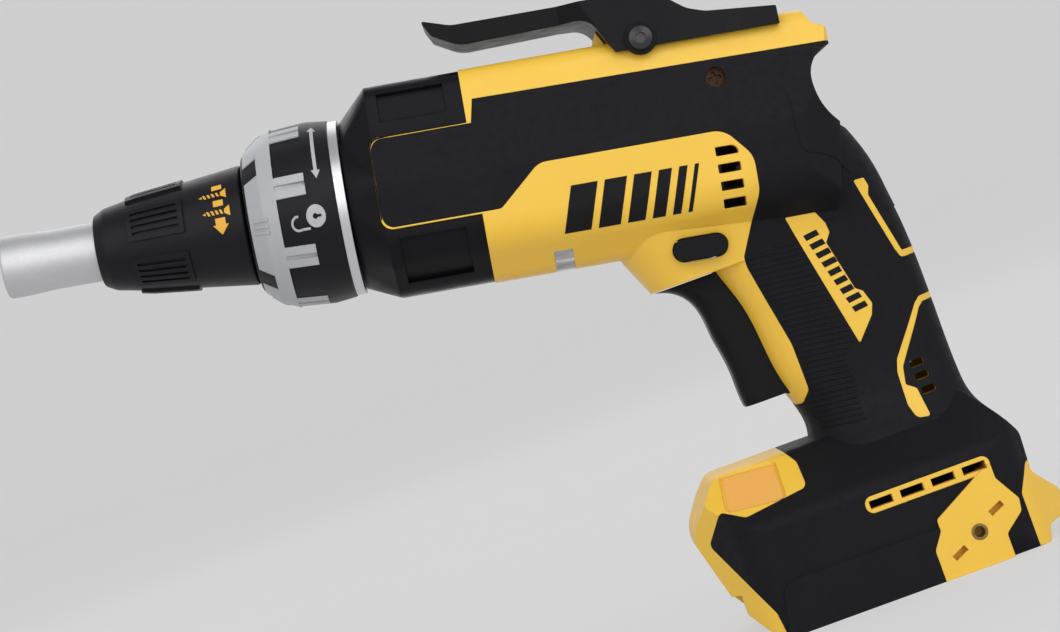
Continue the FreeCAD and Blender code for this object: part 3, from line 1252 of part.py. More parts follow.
# Motor
def bearing(radius, bore, start, length, rise):
    """Ball bearing drawn as two races with a filled ring between them."""
    races = [tube(radius, radius - BEARING_RACE, start, start + length, rise),
             tube(bore + BEARING_RACE, bore, start, start + length, rise)]
    inset = BEARING_FACE_SHARE * length
    shield = (start + inset, start + length - inset)
    races.append(tube(radius - BEARING_RACE, bore + BEARING_RACE, *shield, rise))
    return joined(races)


def bearing_plate():
    """Plate between gear case and motor with the motor bearing and the spindle's rear bush."""
    front = PLATE_BACK_P + PLATE_LENGTH
    plate = prism_x(section_corners(CASE_WALL + SEAT_GAP), PLATE_BACK_P, front)
    boss_front = GEAR_BACK_P - WASHER_LENGTH - MOVING_GAP
    plate = plate.fuse(rod(BOSS_RADIUS, front, boss_front))
    ends = (PLATE_BACK_P - OVERRUN, PLATE_BACK_P + BEARING_LENGTH)
    pocket = rod(BEARING_RADIUS + SEAT_GAP, *ends, -MOTOR_DROP)
    bush_back = SPINDLE_BACK_P - SPINDLE_TRAVEL - MOVING_GAP
    cuts = [pocket, rod(SHAFT_RADIUS + SHAFT_CLEARANCE, -REACH, REACH, -MOTOR_DROP)]
    cuts += [rod(JOURNAL_RADIUS + RUNNING_GAP, bush_back, boss_front + OVERRUN)]
    return plate.cut(cuts[0].multiFuse(cuts[1:]))


def thrust_washer():
    """Washer behind the gear."""
    start = GEAR_BACK_P - WASHER_LENGTH - MOVING_GAP
    return tube(WASHER_RADIUS, JOURNAL_RADIUS + RUNNING_GAP, start, start + WASHER_LENGTH)


def stator_tooth(width, outer, inner, start, stop):
    """Radial block of one stator tooth."""
    return box((start, stop), (-width / 2, width / 2), (inner, outer))


def stator_pieces():
    """Laminated core with its teeth, and the coils around them."""
    front = STATOR_BACK_P + STATOR_LENGTH
    yoke_inner = STATOR_RADIUS - STATOR_YOKE
    yoke = tube(STATOR_RADIUS, yoke_inner, STATOR_BACK_P, front)
    shoe_outer = STATOR_BORE_RADIUS + TOOTH_SHOE
    tooth = stator_tooth(TOOTH_WIDTH, yoke_inner + STATOR_YOKE / 2, 0, STATOR_BACK_P, front)
    shoe = stator_tooth(SHOE_WIDTH, shoe_outer, 0, STATOR_BACK_P, front)
    core = yoke.multiFuse(around(tooth, TOOTH_COUNT) + around(shoe, TOOTH_COUNT))
    core = core.cut(rod(STATOR_BORE_RADIUS, STATOR_BACK_P - OVERRUN, front + OVERRUN)).removeSplitter()
    start = STATOR_BACK_P - COIL_OVERHANG
    stop = front + COIL_OVERHANG
    coil = stator_tooth(TOOTH_WIDTH + 2 * COIL_WALL, STATOR_RADIUS - STATOR_YOKE, shoe_outer, start, stop)
    coil = coil.common(rod(yoke_inner, start, stop))
    coil = coil.cut(stator_tooth(TOOTH_WIDTH, REACH, 0, STATOR_BACK_P, front))
    coil = coil.cut(stator_tooth(SHOE_WIDTH, shoe_outer, 0, start, stop))
    coils = Part.makeCompound(around(coil, TOOTH_COUNT))
    return lowered(core), lowered(coils)


def lowered(shape):
    """Move a shape from the spindle axis to the motor axis."""
    copy = shape.copy()
    copy.translate(V(0, 0, -MOTOR_DROP))
    return copy


def rotor_pieces():
    """Rotor core and the magnets in its slots."""
    front = STATOR_BACK_P + STATOR_LENGTH
    outer = ROTOR_RADIUS - ROTOR_MAGNET_INSET
    half = MAGNET_WIDTH / 2
    magnet = box((STATOR_BACK_P, front), (-half, half), (outer - ROTOR_MAGNET_THICKNESS, outer))
    magnets = around(magnet.common(rod(outer, STATOR_BACK_P, front)), MAGNET_COUNT)
    core = tube(ROTOR_RADIUS, SHAFT_RADIUS, STATOR_BACK_P, front).cut(magnets[0].multiFuse(magnets[1:]))
    return lowered(core), lowered(Part.makeCompound(magnets))


def fan():
    """Radial fan with leaning blades behind its disc."""
    disc_back = FAN_FRONT_P - FAN_DISC
    blade_back = disc_back - FAN_BLADE
    hub = tube(FAN_HUB_RADIUS, SHAFT_RADIUS, blade_back, FAN_FRONT_P)
    disc = tube(FAN_RADIUS, SHAFT_RADIUS, disc_back, FAN_FRONT_P)
    blade = box((blade_back, disc_back), (-BLADE_THICKNESS / 2, BLADE_THICKNESS / 2), (FAN_HUB_RADIUS, REACH))
    blade.rotate(V(0, 0, FAN_HUB_RADIUS), V(1, 0, 0), BLADE_LEAN)
    blade = blade.common(tube(FAN_RADIUS, FAN_HUB_RADIUS - BLADE_THICKNESS, blade_back, disc_back))
    return lowered(hub.multiFuse([disc] + around(blade, BLADE_COUNT)))


# Controls
def trigger():
    """Trigger lofted through level sections, with a pocket for its spring."""
    form = Part.makeLoft([trigger_wire(up, along) for up, along in TRIGGER_SHARES], True)
    rise = TRIGGER_BOTTOM_Z + RETURN_SPRING_RISE
    pocket = Part.makeCylinder(RETURN_SPRING_RADIUS + POCKET_CLEARANCE, RETURN_SPRING_POCKET,
                               V(TRIGGER_BACK_X, 0, rise), V(1, 0, 0))
    return form.cut(pocket)


def trigger_spring():
    """Return spring between switch and trigger."""
    length = TRIGGER_BACK_X + RETURN_SPRING_POCKET - SWITCH_FRONT_X - 2 * SEAT_GAP
    coil = coil_spring(RETURN_SPRING_RADIUS, RETURN_SPRING_WIRE, length, RETURN_SPRING_TURNS)
    coil.rotate(V(0, 0, 0), V(0, 1, 0), 90)
    coil.translate(V(SWITCH_FRONT_X + SEAT_GAP, 0, TRIGGER_BOTTOM_Z + RETURN_SPRING_RISE))
    return coil


def hook_corners():
    """Side outline of the belt hook in the barrel frame."""
    length = HOOK_TIP_P - HOOK_BACK_P
    return [(HOOK_TIP_P - along * length, BARREL_RISE + up * HOOK_LIFT, radius * HOOK_LIFT)
            for along, up, radius in HOOK_SHARES]


def hook_stop():
    """Low rib across the top of the barrel, in front of the foot of the hook."""
    upper, lower = hook_corners()[-2:]
    slope = (upper[0] - lower[0]) / (upper[1] - lower[1])
    heights = (BARREL_RISE - RUBBER, BARREL_RISE + HOOK_STOP_RISE)
    corners = [(lower[0] + (rise - lower[1]) * slope + MOVING_GAP, rise, 0) for rise in heights]
    corners.append((corners[0][0] + HOOK_STOP_LENGTH, heights[0], 0))
    return prism_y(corners, HOOK_HALF_WIDTH - HOOK_EDGE)


def belt_hook():
    """Hook with cheeks that wrap the top of the barrel and narrow to the arm, and two screw ears."""
    outline = hook_corners()
    arm = prism_y(outline, HOOK_HALF_WIDTH)
    heights = (HOOK_CAP_RISE, BARREL_RISE + HOOK_LIFT)
    section = [(flank_half_width(rise, -HOOK_CAP), rise, 0) for rise in heights]
    wide = section[0][0]
    plan = [(HOOK_BACK_P, wide, 0), (HOOK_SADDLE_P, wide, 0), (HOOK_NECK_P, HOOK_HALF_WIDTH, 0)]
    plan += [(along, -across, radius) for along, across, radius in reversed(plan)]
    cap = prism_y(outline, REACH).common(prism_x(mirrored(section), HOOK_BACK_P, HOOK_NECK_P))
    cap = cap.common(prism_z(plan, -REACH, REACH))
    ears = cross_rod(HOOK_SCREW_P, HOOK_SCREW_RISE, HOOK_BOSS_RADIUS, -ear_half_width(), ear_half_width())
    inner = boss_half_width()
    barrel_form = prism_x(section_corners(-SEAT_GAP), BARREL_BACK_P, HOUSING_FRONT_P)
    barrel_form = barrel_form.cut(ears.cut(box((-REACH, REACH), (-inner, inner), (-REACH, REACH))))
    form = arm.multiFuse([cap, ears]).cut(barrel_form)
    bore = cross_rod(HOOK_SCREW_P, HOOK_SCREW_RISE, HOOK_SCREW_RADIUS, -REACH, REACH)
    return form.cut(bore).removeSplitter()


def ear_half_width():
    """Outer face of the hook's screw ears, just outside the lower edge of its cap."""
    return flank_half_width(HOOK_CAP_RISE, -HOOK_CAP) + MOVING_GAP


def boss_half_width():
    """Inner face of the hook's screw ears."""
    return ear_half_width() - HOOK_EDGE - HOOK_CAP


def belt_hook_screws():
    """Dome-headed screws in the ears of the hook."""
    seat = ear_half_width()
    radius = HOOK_SCREW_HEAD_RADIUS
    head = turned([(0, 0, 0), (0, radius, 0), (HOOK_SCREW_HEAD / 2, radius, 0),
                   (HOOK_SCREW_HEAD, radius / 2, 0), (HOOK_SCREW_HEAD, 0, 0)])
    shank = rod(HOOK_SCREW_RADIUS, -HOOK_SCREW_LENGTH, 0)
    socket = hexagon_rod(HOOK_SCREW_SOCKET, HOOK_SCREW_HEAD - HOOK_SOCKET_DEPTH, HOOK_SCREW_HEAD + OVERRUN)
    one = joined([head, shank]).cut(socket)
    one.rotate(V(0, 0, 0), V(0, 0, 1), 90)
    one.translate(V(HOOK_SCREW_P, seat, HOOK_SCREW_RISE))
    return Part.makeCompound([one, one.mirror(V(0, 0, 0), V(0, 1, 0))])


# Electronics
def control_module():
    """Potted control module on the floor above the battery channel."""
    floor = CHANNEL_TOP + CHANNEL_FLOOR
    heights = (floor, floor + MODULE_HEIGHT)
    return rounded_block((-MODULE_BACK, MODULE_FRONT), MODULE_HALF_WIDTH, heights, MODULE_ROUND)


def terminal_pieces():
    """Terminal block and the blades that stand in it."""
    block = terminal_block_form(0)
    front = -CHANNEL_BACK + OVERRUN + BLOCK_LENGTH
    bottom = BLOCK_BOTTOM_Z + TERMINAL_RISE
    blades = []
    for index in range(BLADE_TERMINALS):
        middle = (index - (BLADE_TERMINALS - 1) / 2) * TERMINAL_PITCH
        across = (middle - TERMINAL_THICKNESS / 2, middle + TERMINAL_THICKNESS / 2)
        lengths = (front - TERMINAL_ROOT, front + TERMINAL_LENGTH)
        blades.append(box(lengths, across, (bottom, bottom + TERMINAL_HEIGHT)))
    return block.cut(blades[0].multiFuse(blades[1:])), Part.makeCompound(blades)


def hook_inserts():
    """Threaded inserts in the plates of the foot."""
    mouth = FOOT_HALF_WIDTH + HOOK_PLATE_PROUD
    outer = cross_rod(INSERT_X, INSERT_Z, INSERT_RADIUS, mouth - INSERT_LENGTH, mouth)
    one = outer.cut(cross_rod(INSERT_X, INSERT_Z, INSERT_BORE_RADIUS, -REACH, REACH))
    return Part.makeCompound([one, one.mirror(V(0, 0, 0), V(0, 1, 0))])


def led_board():
    """Small board above the lens of the work light."""
    top = -BARREL_DROP + LED_DEPTH
    lengths = (LED_P - LED_LENGTH / 2, LED_P + LED_LENGTH / 2)
    return box(lengths, (-LED_BOARD_HALF_WIDTH, LED_BOARD_HALF_WIDTH), (top, top + LED_BOARD))


def led_lens():
    """Lens that closes the window under the barrel."""
    return led_form(0).common(shell_between(0, LED_DEPTH, LED_P - LED_LENGTH, LED_P + LED_LENGTH))


# Assembly
shell, grip = housing()
shell_left, shell_right = parted(shell)
grip_left, grip_right = parted(grip)
ring, ring_grip, ring_trim = lock_ring_pieces()
core, coils = stator_pieces()
rotor, magnets = rotor_pieces()
block, blades = terminal_pieces()
motor_bore = SHAFT_RADIUS + RUNNING_GAP
motor_front_bearing = bearing(BEARING_RADIUS, motor_bore, PLATE_BACK_P, BEARING_LENGTH, -MOTOR_DROP)
motor_rear_bearing = bearing(BEARING_RADIUS, motor_bore, REAR_BEARING_BACK_P, BEARING_LENGTH, -MOTOR_DROP)
spindle_bearing = bearing(
    SPINDLE_BEARING_RADIUS, SPINDLE_RADIUS + RUNNING_GAP, SPINDLE_BEARING_BACK_P, SPINDLE_BEARING_LENGTH, 0)
seal_back = SPINDLE_BEARING_BACK_P + SPINDLE_BEARING_LENGTH
socket_back = HOLDER_FRONT_P - BIT_SOCKET_LENGTH
board_front = STATOR_BACK_P - COIL_OVERHANG
board_back = board_front - SENSOR_BOARD_THICKNESS

pieces = {
    "housing_left": shell_left,
    "housing_right": shell_right,
    "grip_left": grip_left,
    "grip_right": grip_right,
    "gear_case": tilt(gear_case()),
    "collar_clip": tilt(collar_clip()),
    "lock_ring": tilt(ring),
    "lock_ring_grip": tilt(ring_grip),
    "lock_ring_trim": tilt(ring_trim),
    "depth_collar": tilt(depth_collar()),
    "nose_tube": tilt(nose_tube()),
    "spindle": tilt(spindle()),
    "spindle_bearing": tilt(spindle_bearing),
    "spindle_seal": tilt(tube(SEAL_RADIUS, SPINDLE_RADIUS + RUNNING_GAP, seal_back, seal_back + SEAL_LENGTH)),
    "bit_holder": tilt(bit_holder()),
    "holder_magnet": tilt(rod(MAGNET_RADIUS, socket_back - MAGNET_LENGTH, socket_back)),
    "screw_bit": tilt(screw_bit()),
    "clutch_spring": tilt(clutch_spring()),
    "drive_gear": tilt(drive_gear()),
    "thrust_washer": tilt(thrust_washer()),
    "bearing_plate": tilt(bearing_plate()),
    "rotor_shaft": tilt(rotor_shaft()),
    "rotor_core": tilt(rotor),
    "rotor_magnets": tilt(magnets),
    "stator_core": tilt(core),
    "stator_coils": tilt(coils),
    "sensor_board": tilt(tube(
        SENSOR_BOARD_RADIUS, SENSOR_BOARD_BORE, board_back, board_front, -MOTOR_DROP)),
    "fan": tilt(fan()),
    "motor_front_bearing": tilt(motor_front_bearing),
    "motor_rear_bearing": tilt(motor_rear_bearing),
    "trigger": trigger(),
    "trigger_spring": trigger_spring(),
    "switch_module": switch_form(0),
    "direction_button": tilt(button_form(0)),
    "belt_hook": tilt(belt_hook()),
    "belt_hook_screws": tilt(belt_hook_screws()),
    "led_lens": tilt(led_lens()),
    "led_board": tilt(led_board()),
    "housing_screws": Part.makeCompound([screw(place) for place in screw_places()]),
    "hook_inserts": hook_inserts(),
    "control_module": control_module(),
    "terminal_block": block,
    "terminal_blades": blades,
}

os.makedirs("parts", exist_ok=True)
for name, shape in pieces.items():
    shape.exportStep("parts/" + name + ".step")
    volumes = [round(solid.Volume) for solid in shape.Solids]
    print(name, len(shape.Solids), volumes, shape.isValid())
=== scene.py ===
import math

import bmesh
import bpy
from mathutils import Matrix, Vector
from mathutils.bvhtree import BVHTree


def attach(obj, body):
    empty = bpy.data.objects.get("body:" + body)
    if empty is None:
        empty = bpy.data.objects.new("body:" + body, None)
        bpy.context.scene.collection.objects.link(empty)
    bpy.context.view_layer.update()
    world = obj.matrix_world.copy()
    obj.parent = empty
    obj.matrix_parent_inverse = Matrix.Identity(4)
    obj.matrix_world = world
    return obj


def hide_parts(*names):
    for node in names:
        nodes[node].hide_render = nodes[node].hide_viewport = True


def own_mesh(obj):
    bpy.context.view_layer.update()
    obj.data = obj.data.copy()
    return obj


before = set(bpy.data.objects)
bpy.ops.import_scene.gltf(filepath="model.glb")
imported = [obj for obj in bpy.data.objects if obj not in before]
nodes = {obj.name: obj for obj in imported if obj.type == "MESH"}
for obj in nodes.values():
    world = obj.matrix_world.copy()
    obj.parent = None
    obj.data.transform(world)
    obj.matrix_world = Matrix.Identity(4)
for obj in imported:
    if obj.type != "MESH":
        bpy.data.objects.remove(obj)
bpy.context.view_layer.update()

# Shared frame: +X to the nose, +Y to the left and +Z up, in metres; the barrel's axis rises towards the nose
MM = 0.001
TILT = math.radians(10)
AXIS_POINT = Vector((0.1235, 0, 0.169))
AXIS = Vector((math.cos(TILT), 0, math.sin(TILT)))
UPRIGHT = Vector((-math.sin(TILT), 0, math.cos(TILT)))
ACROSS = Vector((0, 1, 0))
BOTH_SIDES = (1, -1)

# How far out the rays start that find the CAD surfaces
SIDE_RAY = 90 * MM
ROUND_RAY = 60 * MM
TOP_RAY = 80 * MM


# Node material helpers
class Build:
    """Small helper around one material's node tree."""

    def __init__(self, name):
        self.material = bpy.data.materials.new(name)
        self.material.use_nodes = True
        self.tree = self.material.node_tree
        self.shader = self.tree.nodes["Principled BSDF"]
        self.coordinates = self.node("ShaderNodeTexCoord").outputs["Object"]

    def node(self, kind, **settings):
        made = self.tree.nodes.new(kind)
        for key, value in settings.items():
            setattr(made, key, value)
        return made

    def link(self, source, target):
        self.tree.links.new(source, target)

    def feed(self, socket, value):
        """Give a socket a colour, a number or another node's output."""
        if isinstance(value, tuple):
            socket.default_value = (*value, 1)
        elif isinstance(value, (int, float)):
            socket.default_value = value
        else:
            self.link(value, socket)

    def noise(self, scale, detail=3.0, roughness=0.5, vector=None):
        made = self.node("ShaderNodeTexNoise")
        made.inputs["Scale"].default_value = scale
        made.inputs["Detail"].default_value = detail
        made.inputs["Roughness"].default_value = roughness
        self.link(vector or self.coordinates, made.inputs["Vector"])
        return made.outputs["Fac"]

    def grain(self, scale):
        """Cells like those of grained leather."""
        made = self.node("ShaderNodeTexVoronoi")
        made.inputs["Scale"].default_value = scale
        self.link(self.coordinates, made.inputs["Vector"])
        return made.outputs["Distance"]

    def stretched(self, scale):
        made = self.node("ShaderNodeMapping")
        made.inputs["Scale"].default_value = scale
        self.link(self.coordinates, made.inputs["Vector"])
        return made.outputs["Vector"]

    def spread(self, source, low, high, start=0.3, stop=0.7):
        """Range from start to stop, carried over to low and high."""
        made = self.node("ShaderNodeMapRange")
        for name, value in (("From Min", start), ("From Max", stop), ("To Min", low), ("To Max", high)):
            made.inputs[name].default_value = value
        self.link(source, made.inputs["Value"])
        return made.outputs["Result"]

    def math(self, operation, first, second=0.0):
        made = self.node("ShaderNodeMath", operation=operation)
        self.feed(made.inputs[0], first)
        self.feed(made.inputs[1], second)
        return made.outputs[0]

    def dot(self, direction):
        made = self.node("ShaderNodeVectorMath", operation="DOT_PRODUCT")
        self.link(self.coordinates, made.inputs[0])
        made.inputs[1].default_value = direction
        return made.outputs["Value"]

    def between(self, source, low, high, soft):
        """One between low and high and nothing outside, with soft ends."""
        rise = self.spread(source, 0.0, 1.0, low - soft, low + soft)
        fall = self.spread(source, 1.0, 0.0, high - soft, high + soft)
        return self.math("MULTIPLY", rise, fall)

    def colour(self, factor, dark, light):
        made = self.node("ShaderNodeMix", data_type="RGBA")
        self.feed(made.inputs["A"], dark)
        self.feed(made.inputs["B"], light)
        self.link(factor, made.inputs["Factor"])
        self.link(made.outputs["Result"], self.shader.inputs["Base Color"])
        return made.outputs["Result"]

    def bump(self, height, strength, distance, normal=None):
        made = self.node("ShaderNodeBump")
        made.inputs["Strength"].default_value = strength
        made.inputs["Distance"].default_value = distance
        self.link(height, made.inputs["Height"])
        if normal is not None:
            self.link(normal, made.inputs["Normal"])
        self.link(made.outputs["Normal"], self.shader.inputs["Normal"])
        return made.outputs["Normal"]

    def soft_edge(self, radius):
        """Normal that rounds the edges."""
        made = self.node("ShaderNodeBevel", samples=4)
        made.inputs["Radius"].default_value = radius
        self.link(made.outputs["Normal"], self.shader.inputs["Normal"])
        return made.outputs["Normal"]

    def rubbed_edge_highlight(self, rounded, base, worn_highlight_colour, amount):
        """Paler colour, in patches, where the rounded normal shows an edge: partly edge wear, partly a
        painted highlight that falls on every edge, hollow ones too.
        """
        made = self.node("ShaderNodeVectorMath", operation="DOT_PRODUCT")
        self.link(rounded, made.inputs[0])
        self.link(self.node("ShaderNodeNewGeometry").outputs["Normal"], made.inputs[1])
        edge = self.spread(made.outputs["Value"], amount, 0.0, SHARP_EDGE, FLAT_FACE)
        return self.colour(self.math("MULTIPLY", edge, self.noise(WEAR_AND_HIGHLIGHT_SCALE, 4.0)), base, worn_highlight_colour)


# Agreement of the rounded normal with the face's own, at an edge and on a flat face
SHARP_EDGE = 0.80
FLAT_FACE = 0.99
# Size of the patches of edge wear and painted edge highlight, in waves per metre
WEAR_AND_HIGHLIGHT_SCALE = 240

PLASTIC_MOTTLE_SCALE = 34
PLASTIC_SHEEN_SCALE = 160
PLASTIC_RELIEF = 0.08 * MM
# How the paler edge colour, partly wear and partly painted highlight, is made from the lighter colour
WORN_HIGHLIGHT_GAIN = 1.2
WORN_HIGHLIGHT_LIFT = 0.02
WORN_HIGHLIGHT_PALEST = 0.9


def plastic(name, dark, light, rough, grain=2600, strength=0.12, edge=0.4 * MM, gloss=0.5, wear_and_highlight=0.3):
    """Moulded plastic or paint: faint mottling, uneven sheen, fine spark-eroded grain, and paler edges that
    are partly rubbed wear and partly painted highlight.
    """
    made = Build(name)
    base = made.colour(made.noise(PLASTIC_MOTTLE_SCALE, 4.0), dark, light)
    made.shader.inputs["Specular IOR Level"].default_value = gloss
    sheen = made.spread(made.noise(PLASTIC_SHEEN_SCALE), rough[0], rough[1])
    made.link(sheen, made.shader.inputs["Roughness"])
    rounded = made.soft_edge(edge)
    # Paler edges in patches: edge wear together with a painted highlight
    worn_highlight_colour = tuple(min(WORN_HIGHLIGHT_PALEST, WORN_HIGHLIGHT_GAIN * part + WORN_HIGHLIGHT_LIFT) for part in light)
    made.rubbed_edge_highlight(rounded, base, worn_highlight_colour, wear_and_highlight)
    made.bump(made.noise(grain, 2.0), strength, PLASTIC_RELIEF, rounded)
    return made


METAL_LINE_SCALE = 900
METAL_MOTTLE_SCALE = 60
METAL_RELIEF = 0.05 * MM
METAL_EDGE = 0.3 * MM


def metal(name, dark, light, rough, direction=(1, 1, 1), strength=0.06):
    """Machined metal: lines left by the tool and uneven polish."""
    made = Build(name)
    made.shader.inputs["Metallic"].default_value = 1.0
    lines = made.noise(METAL_LINE_SCALE, 3.0, 0.6, made.stretched(direction))
    made.colour(made.noise(METAL_MOTTLE_SCALE, 3.0), dark, light)
    made.link(made.spread(lines, rough[0], rough[1]), made.shader.inputs["Roughness"])
    made.bump(lines, strength, METAL_RELIEF, made.soft_edge(METAL_EDGE))
    return made


RUBBER_DARK = (0.0060, 0.0060, 0.0075)
RUBBER_LIGHT = (0.0095, 0.0095, 0.0118)
# Paler rubber along edges: partly wear, partly painted highlight
RUBBER_WORN_HIGHLIGHT = (0.03, 0.03, 0.033)
RUBBER_GLOSS = 0.12
RUBBER_EDGE = 0.5 * MM
LEATHER_SCALE = 1500
LEATHER_RELIEF = 0.12 * MM

# Fine ribs in a band on the barrel, placed along and above its axis
FINE_RIB_PITCH = 1.1 * MM
FINE_RIB_RELIEF = 0.4 * MM
FINE_RIB_SHARE = 0.3
BAND_BOTTOM = 8.5 * MM
BAND_TOP = 15.5 * MM
BAND_EDGE = 1.2 * MM
BAND_BACK = -118 * MM
BAND_FRONT = -52 * MM
BAND_END = 6 * MM


def rubber():
    """Overmoulded grip: matt, finely grained, with fine ribs along the barrel."""
    made = Build("soft_grip")
    base = made.colour(made.noise(46, 4.0), RUBBER_DARK, RUBBER_LIGHT)
    made.shader.inputs["Specular IOR Level"].default_value = RUBBER_GLOSS
    made.link(made.spread(made.noise(420, 3.0), 0.50, 0.66), made.shader.inputs["Roughness"])
    rounded = made.soft_edge(RUBBER_EDGE)
    # Paler edges in patches: edge wear together with a painted highlight
    made.rubbed_edge_highlight(rounded, base, RUBBER_WORN_HIGHLIGHT, 0.5)
    leather = made.bump(made.grain(LEATHER_SCALE), 0.16, LEATHER_RELIEF, rounded)
    along = made.math("SUBTRACT", made.dot(tuple(AXIS)), AXIS_POINT.dot(AXIS))
    above = made.math("SUBTRACT", made.dot(tuple(UPRIGHT)), AXIS_POINT.dot(UPRIGHT))
    wave = made.math("SINE", made.math("MULTIPLY", along, 2 * math.pi / FINE_RIB_PITCH))
    band = made.math("MULTIPLY", made.between(above, BAND_BOTTOM, BAND_TOP, BAND_EDGE),
                     made.between(along, BAND_BACK, BAND_FRONT, BAND_END))
    teeth = made.math("MULTIPLY", made.spread(wave, 0.0, 1.0, -1.0, 1.0), band)
    made.bump(made.math("MULTIPLY", teeth, FINE_RIB_SHARE), 0.5, FINE_RIB_RELIEF, leather)
    return made


# Materials: darker and lighter colour of the mottling, then the range of roughness
YELLOW = plastic("yellow_shell", (0.86, 0.52, 0.046), (0.91, 0.565, 0.058), (0.36, 0.50))
RUBBER = rubber()
CASE = plastic("case_black", (0.0045, 0.0045, 0.0055), (0.008, 0.008, 0.0098), (0.26, 0.42),
               grain=1400, strength=0.16, edge=0.6 * MM, gloss=0.10)
RING = plastic("ring_black", (0.006, 0.006, 0.0075), (0.010, 0.010, 0.0122), (0.34, 0.46),
               grain=2200, strength=0.14, gloss=0.17)
BLACK = plastic("black_plastic", (0.005, 0.005, 0.006), (0.009, 0.009, 0.0105), (0.30, 0.44),
                grain=2000, strength=0.18, edge=0.5 * MM, gloss=0.10)
SILVER = plastic("silver_grip", (0.39, 0.395, 0.41), (0.50, 0.505, 0.52), (0.42, 0.58),
                 grain=1800, strength=0.3)
SEAL = plastic("seal_black", (0.012, 0.012, 0.013), (0.02, 0.02, 0.021), (0.5, 0.64))
BOARD = plastic("board_green", (0.012, 0.075, 0.03), (0.02, 0.10, 0.045), (0.3, 0.42))
FAN = plastic("fan_grey", (0.07, 0.07, 0.074), (0.10, 0.10, 0.104), (0.4, 0.52))
LENS = plastic("lens_clear", (0.86, 0.87, 0.88), (0.94, 0.95, 0.96), (0.08, 0.16), grain=900, strength=0.04)
LENS.shader.inputs["Transmission Weight"].default_value = 0.7

TRIM = metal("trim_silver", (0.60, 0.60, 0.61), (0.70, 0.70, 0.71), (0.28, 0.40))
TUBE = metal("tube_steel", (0.55, 0.55, 0.56), (0.65, 0.65, 0.66), (0.48, 0.62), (3, 1, 1), 0.05)
STEEL = metal("steel", (0.48, 0.48, 0.49), (0.60, 0.60, 0.61), (0.26, 0.42))
DARK_STEEL = metal("dark_steel", (0.05, 0.05, 0.052), (0.08, 0.08, 0.082), (0.28, 0.42))
# Dark bronze screw heads, darkened further as painted shade of the deep holes they sit in
SHADED_SCREW_BRONZE = metal("screw_bronze", (0.036, 0.020, 0.013), (0.060, 0.034, 0.022), (0.30, 0.44))
MAGNET = metal("magnet", (0.30, 0.30, 0.31), (0.38, 0.38, 0.39), (0.22, 0.34))
LAMINATION = metal("lamination", (0.24, 0.24, 0.25), (0.34, 0.34, 0.35), (0.34, 0.5), (4, 1, 1), 0.2)
COPPER = metal("copper", (0.55, 0.22, 0.10), (0.68, 0.30, 0.15), (0.28, 0.42), (1, 4, 4), 0.2)
BRASS = metal("insert_brass", (0.22, 0.135, 0.045), (0.30, 0.19, 0.07), (0.26, 0.40))
TERMINAL = metal("terminal_metal", (0.58, 0.52, 0.40), (0.68, 0.62, 0.48), (0.22, 0.36))

INK_ROUGH = (0.42, 0.56)
INK_GRAIN = {"grain": 3000, "strength": 0.06}
INK = plastic("print_black", (0.006, 0.006, 0.007), (0.010, 0.010, 0.011), INK_ROUGH, gloss=0.12, **INK_GRAIN)
GREY_INK = plastic("print_grey", (0.42, 0.42, 0.425), (0.50, 0.50, 0.505), INK_ROUGH, **INK_GRAIN)
ORANGE_INK = plastic("print_orange", (0.80, 0.40, 0.035), (0.88, 0.47, 0.055), INK_ROUGH, **INK_GRAIN)
AMBER_INK = plastic("print_amber", (0.84, 0.42, 0.080), (0.90, 0.48, 0.105), INK_ROUGH, **INK_GRAIN)

DRESS = {
    YELLOW: ["housing_left", "housing_right"],
    RUBBER: ["grip_left", "grip_right"],
    CASE: ["gear_case"],
    RING: ["lock_ring", "depth_collar"],
    BLACK: ["trigger", "switch_module", "direction_button", "belt_hook", "control_module", "terminal_block"],
    SILVER: ["lock_ring_grip"],
    TRIM: ["lock_ring_trim", "bearing_plate"],
    TUBE: ["nose_tube"],
    STEEL: ["spindle", "spindle_bearing", "bit_holder", "screw_bit", "clutch_spring", "trigger_spring",
            "drive_gear", "thrust_washer", "rotor_shaft", "collar_clip", "motor_front_bearing",
            "motor_rear_bearing"],
    DARK_STEEL: ["belt_hook_screws"],
    SHADED_SCREW_BRONZE: ["housing_screws"],
    SEAL: ["spindle_seal"],
    MAGNET: ["holder_magnet", "rotor_magnets"],
    LAMINATION: ["rotor_core", "stator_core"],
    COPPER: ["stator_coils"],
    BOARD: ["sensor_board", "led_board"],
    FAN: ["fan"],
    LENS: ["led_lens"],
    BRASS: ["hook_inserts"],
    TERMINAL: ["terminal_blades"],
}
for build, names in DRESS.items():
    for name in names:
        nodes[name].data.materials.clear()
        nodes[name].data.materials.append(build.material)


# Printed marks, laid on the CAD surfaces; their outlines are in mm
PRINT_PROUD = 0.08 * MM
PRINT_EDGE = 0.9
MOST_CUTS = 8


def surface_of(*names):
    """Search tree over the faces of some CAD nodes."""
    points = []
    faces = []
    for name in names:
        mesh = nodes[name].data
        start = len(points)
        points += [vertex.co.copy() for vertex in mesh.vertices]
        faces += [tuple(start + index for index in polygon.vertices) for polygon in mesh.polygons]
    return BVHTree.FromPolygons(points, faces)


def flat_pieces(outlines):
    """Mesh of flat outlines, cut finely enough to bend over a surface."""
    made = bmesh.new()
    for outline in outlines:
        made.faces.new([made.verts.new((u, v, 0)) for u, v in outline])
    bmesh.ops.triangulate(made, faces=made.faces[:])
    for _ in range(MOST_CUTS):
        long_edges = [edge for edge in made.edges if edge.calc_length() > PRINT_EDGE]
        if not long_edges:
            break
        bmesh.ops.subdivide_edges(made, edges=long_edges, cuts=1)
        bmesh.ops.triangulate(made, faces=made.faces[:])
    return made


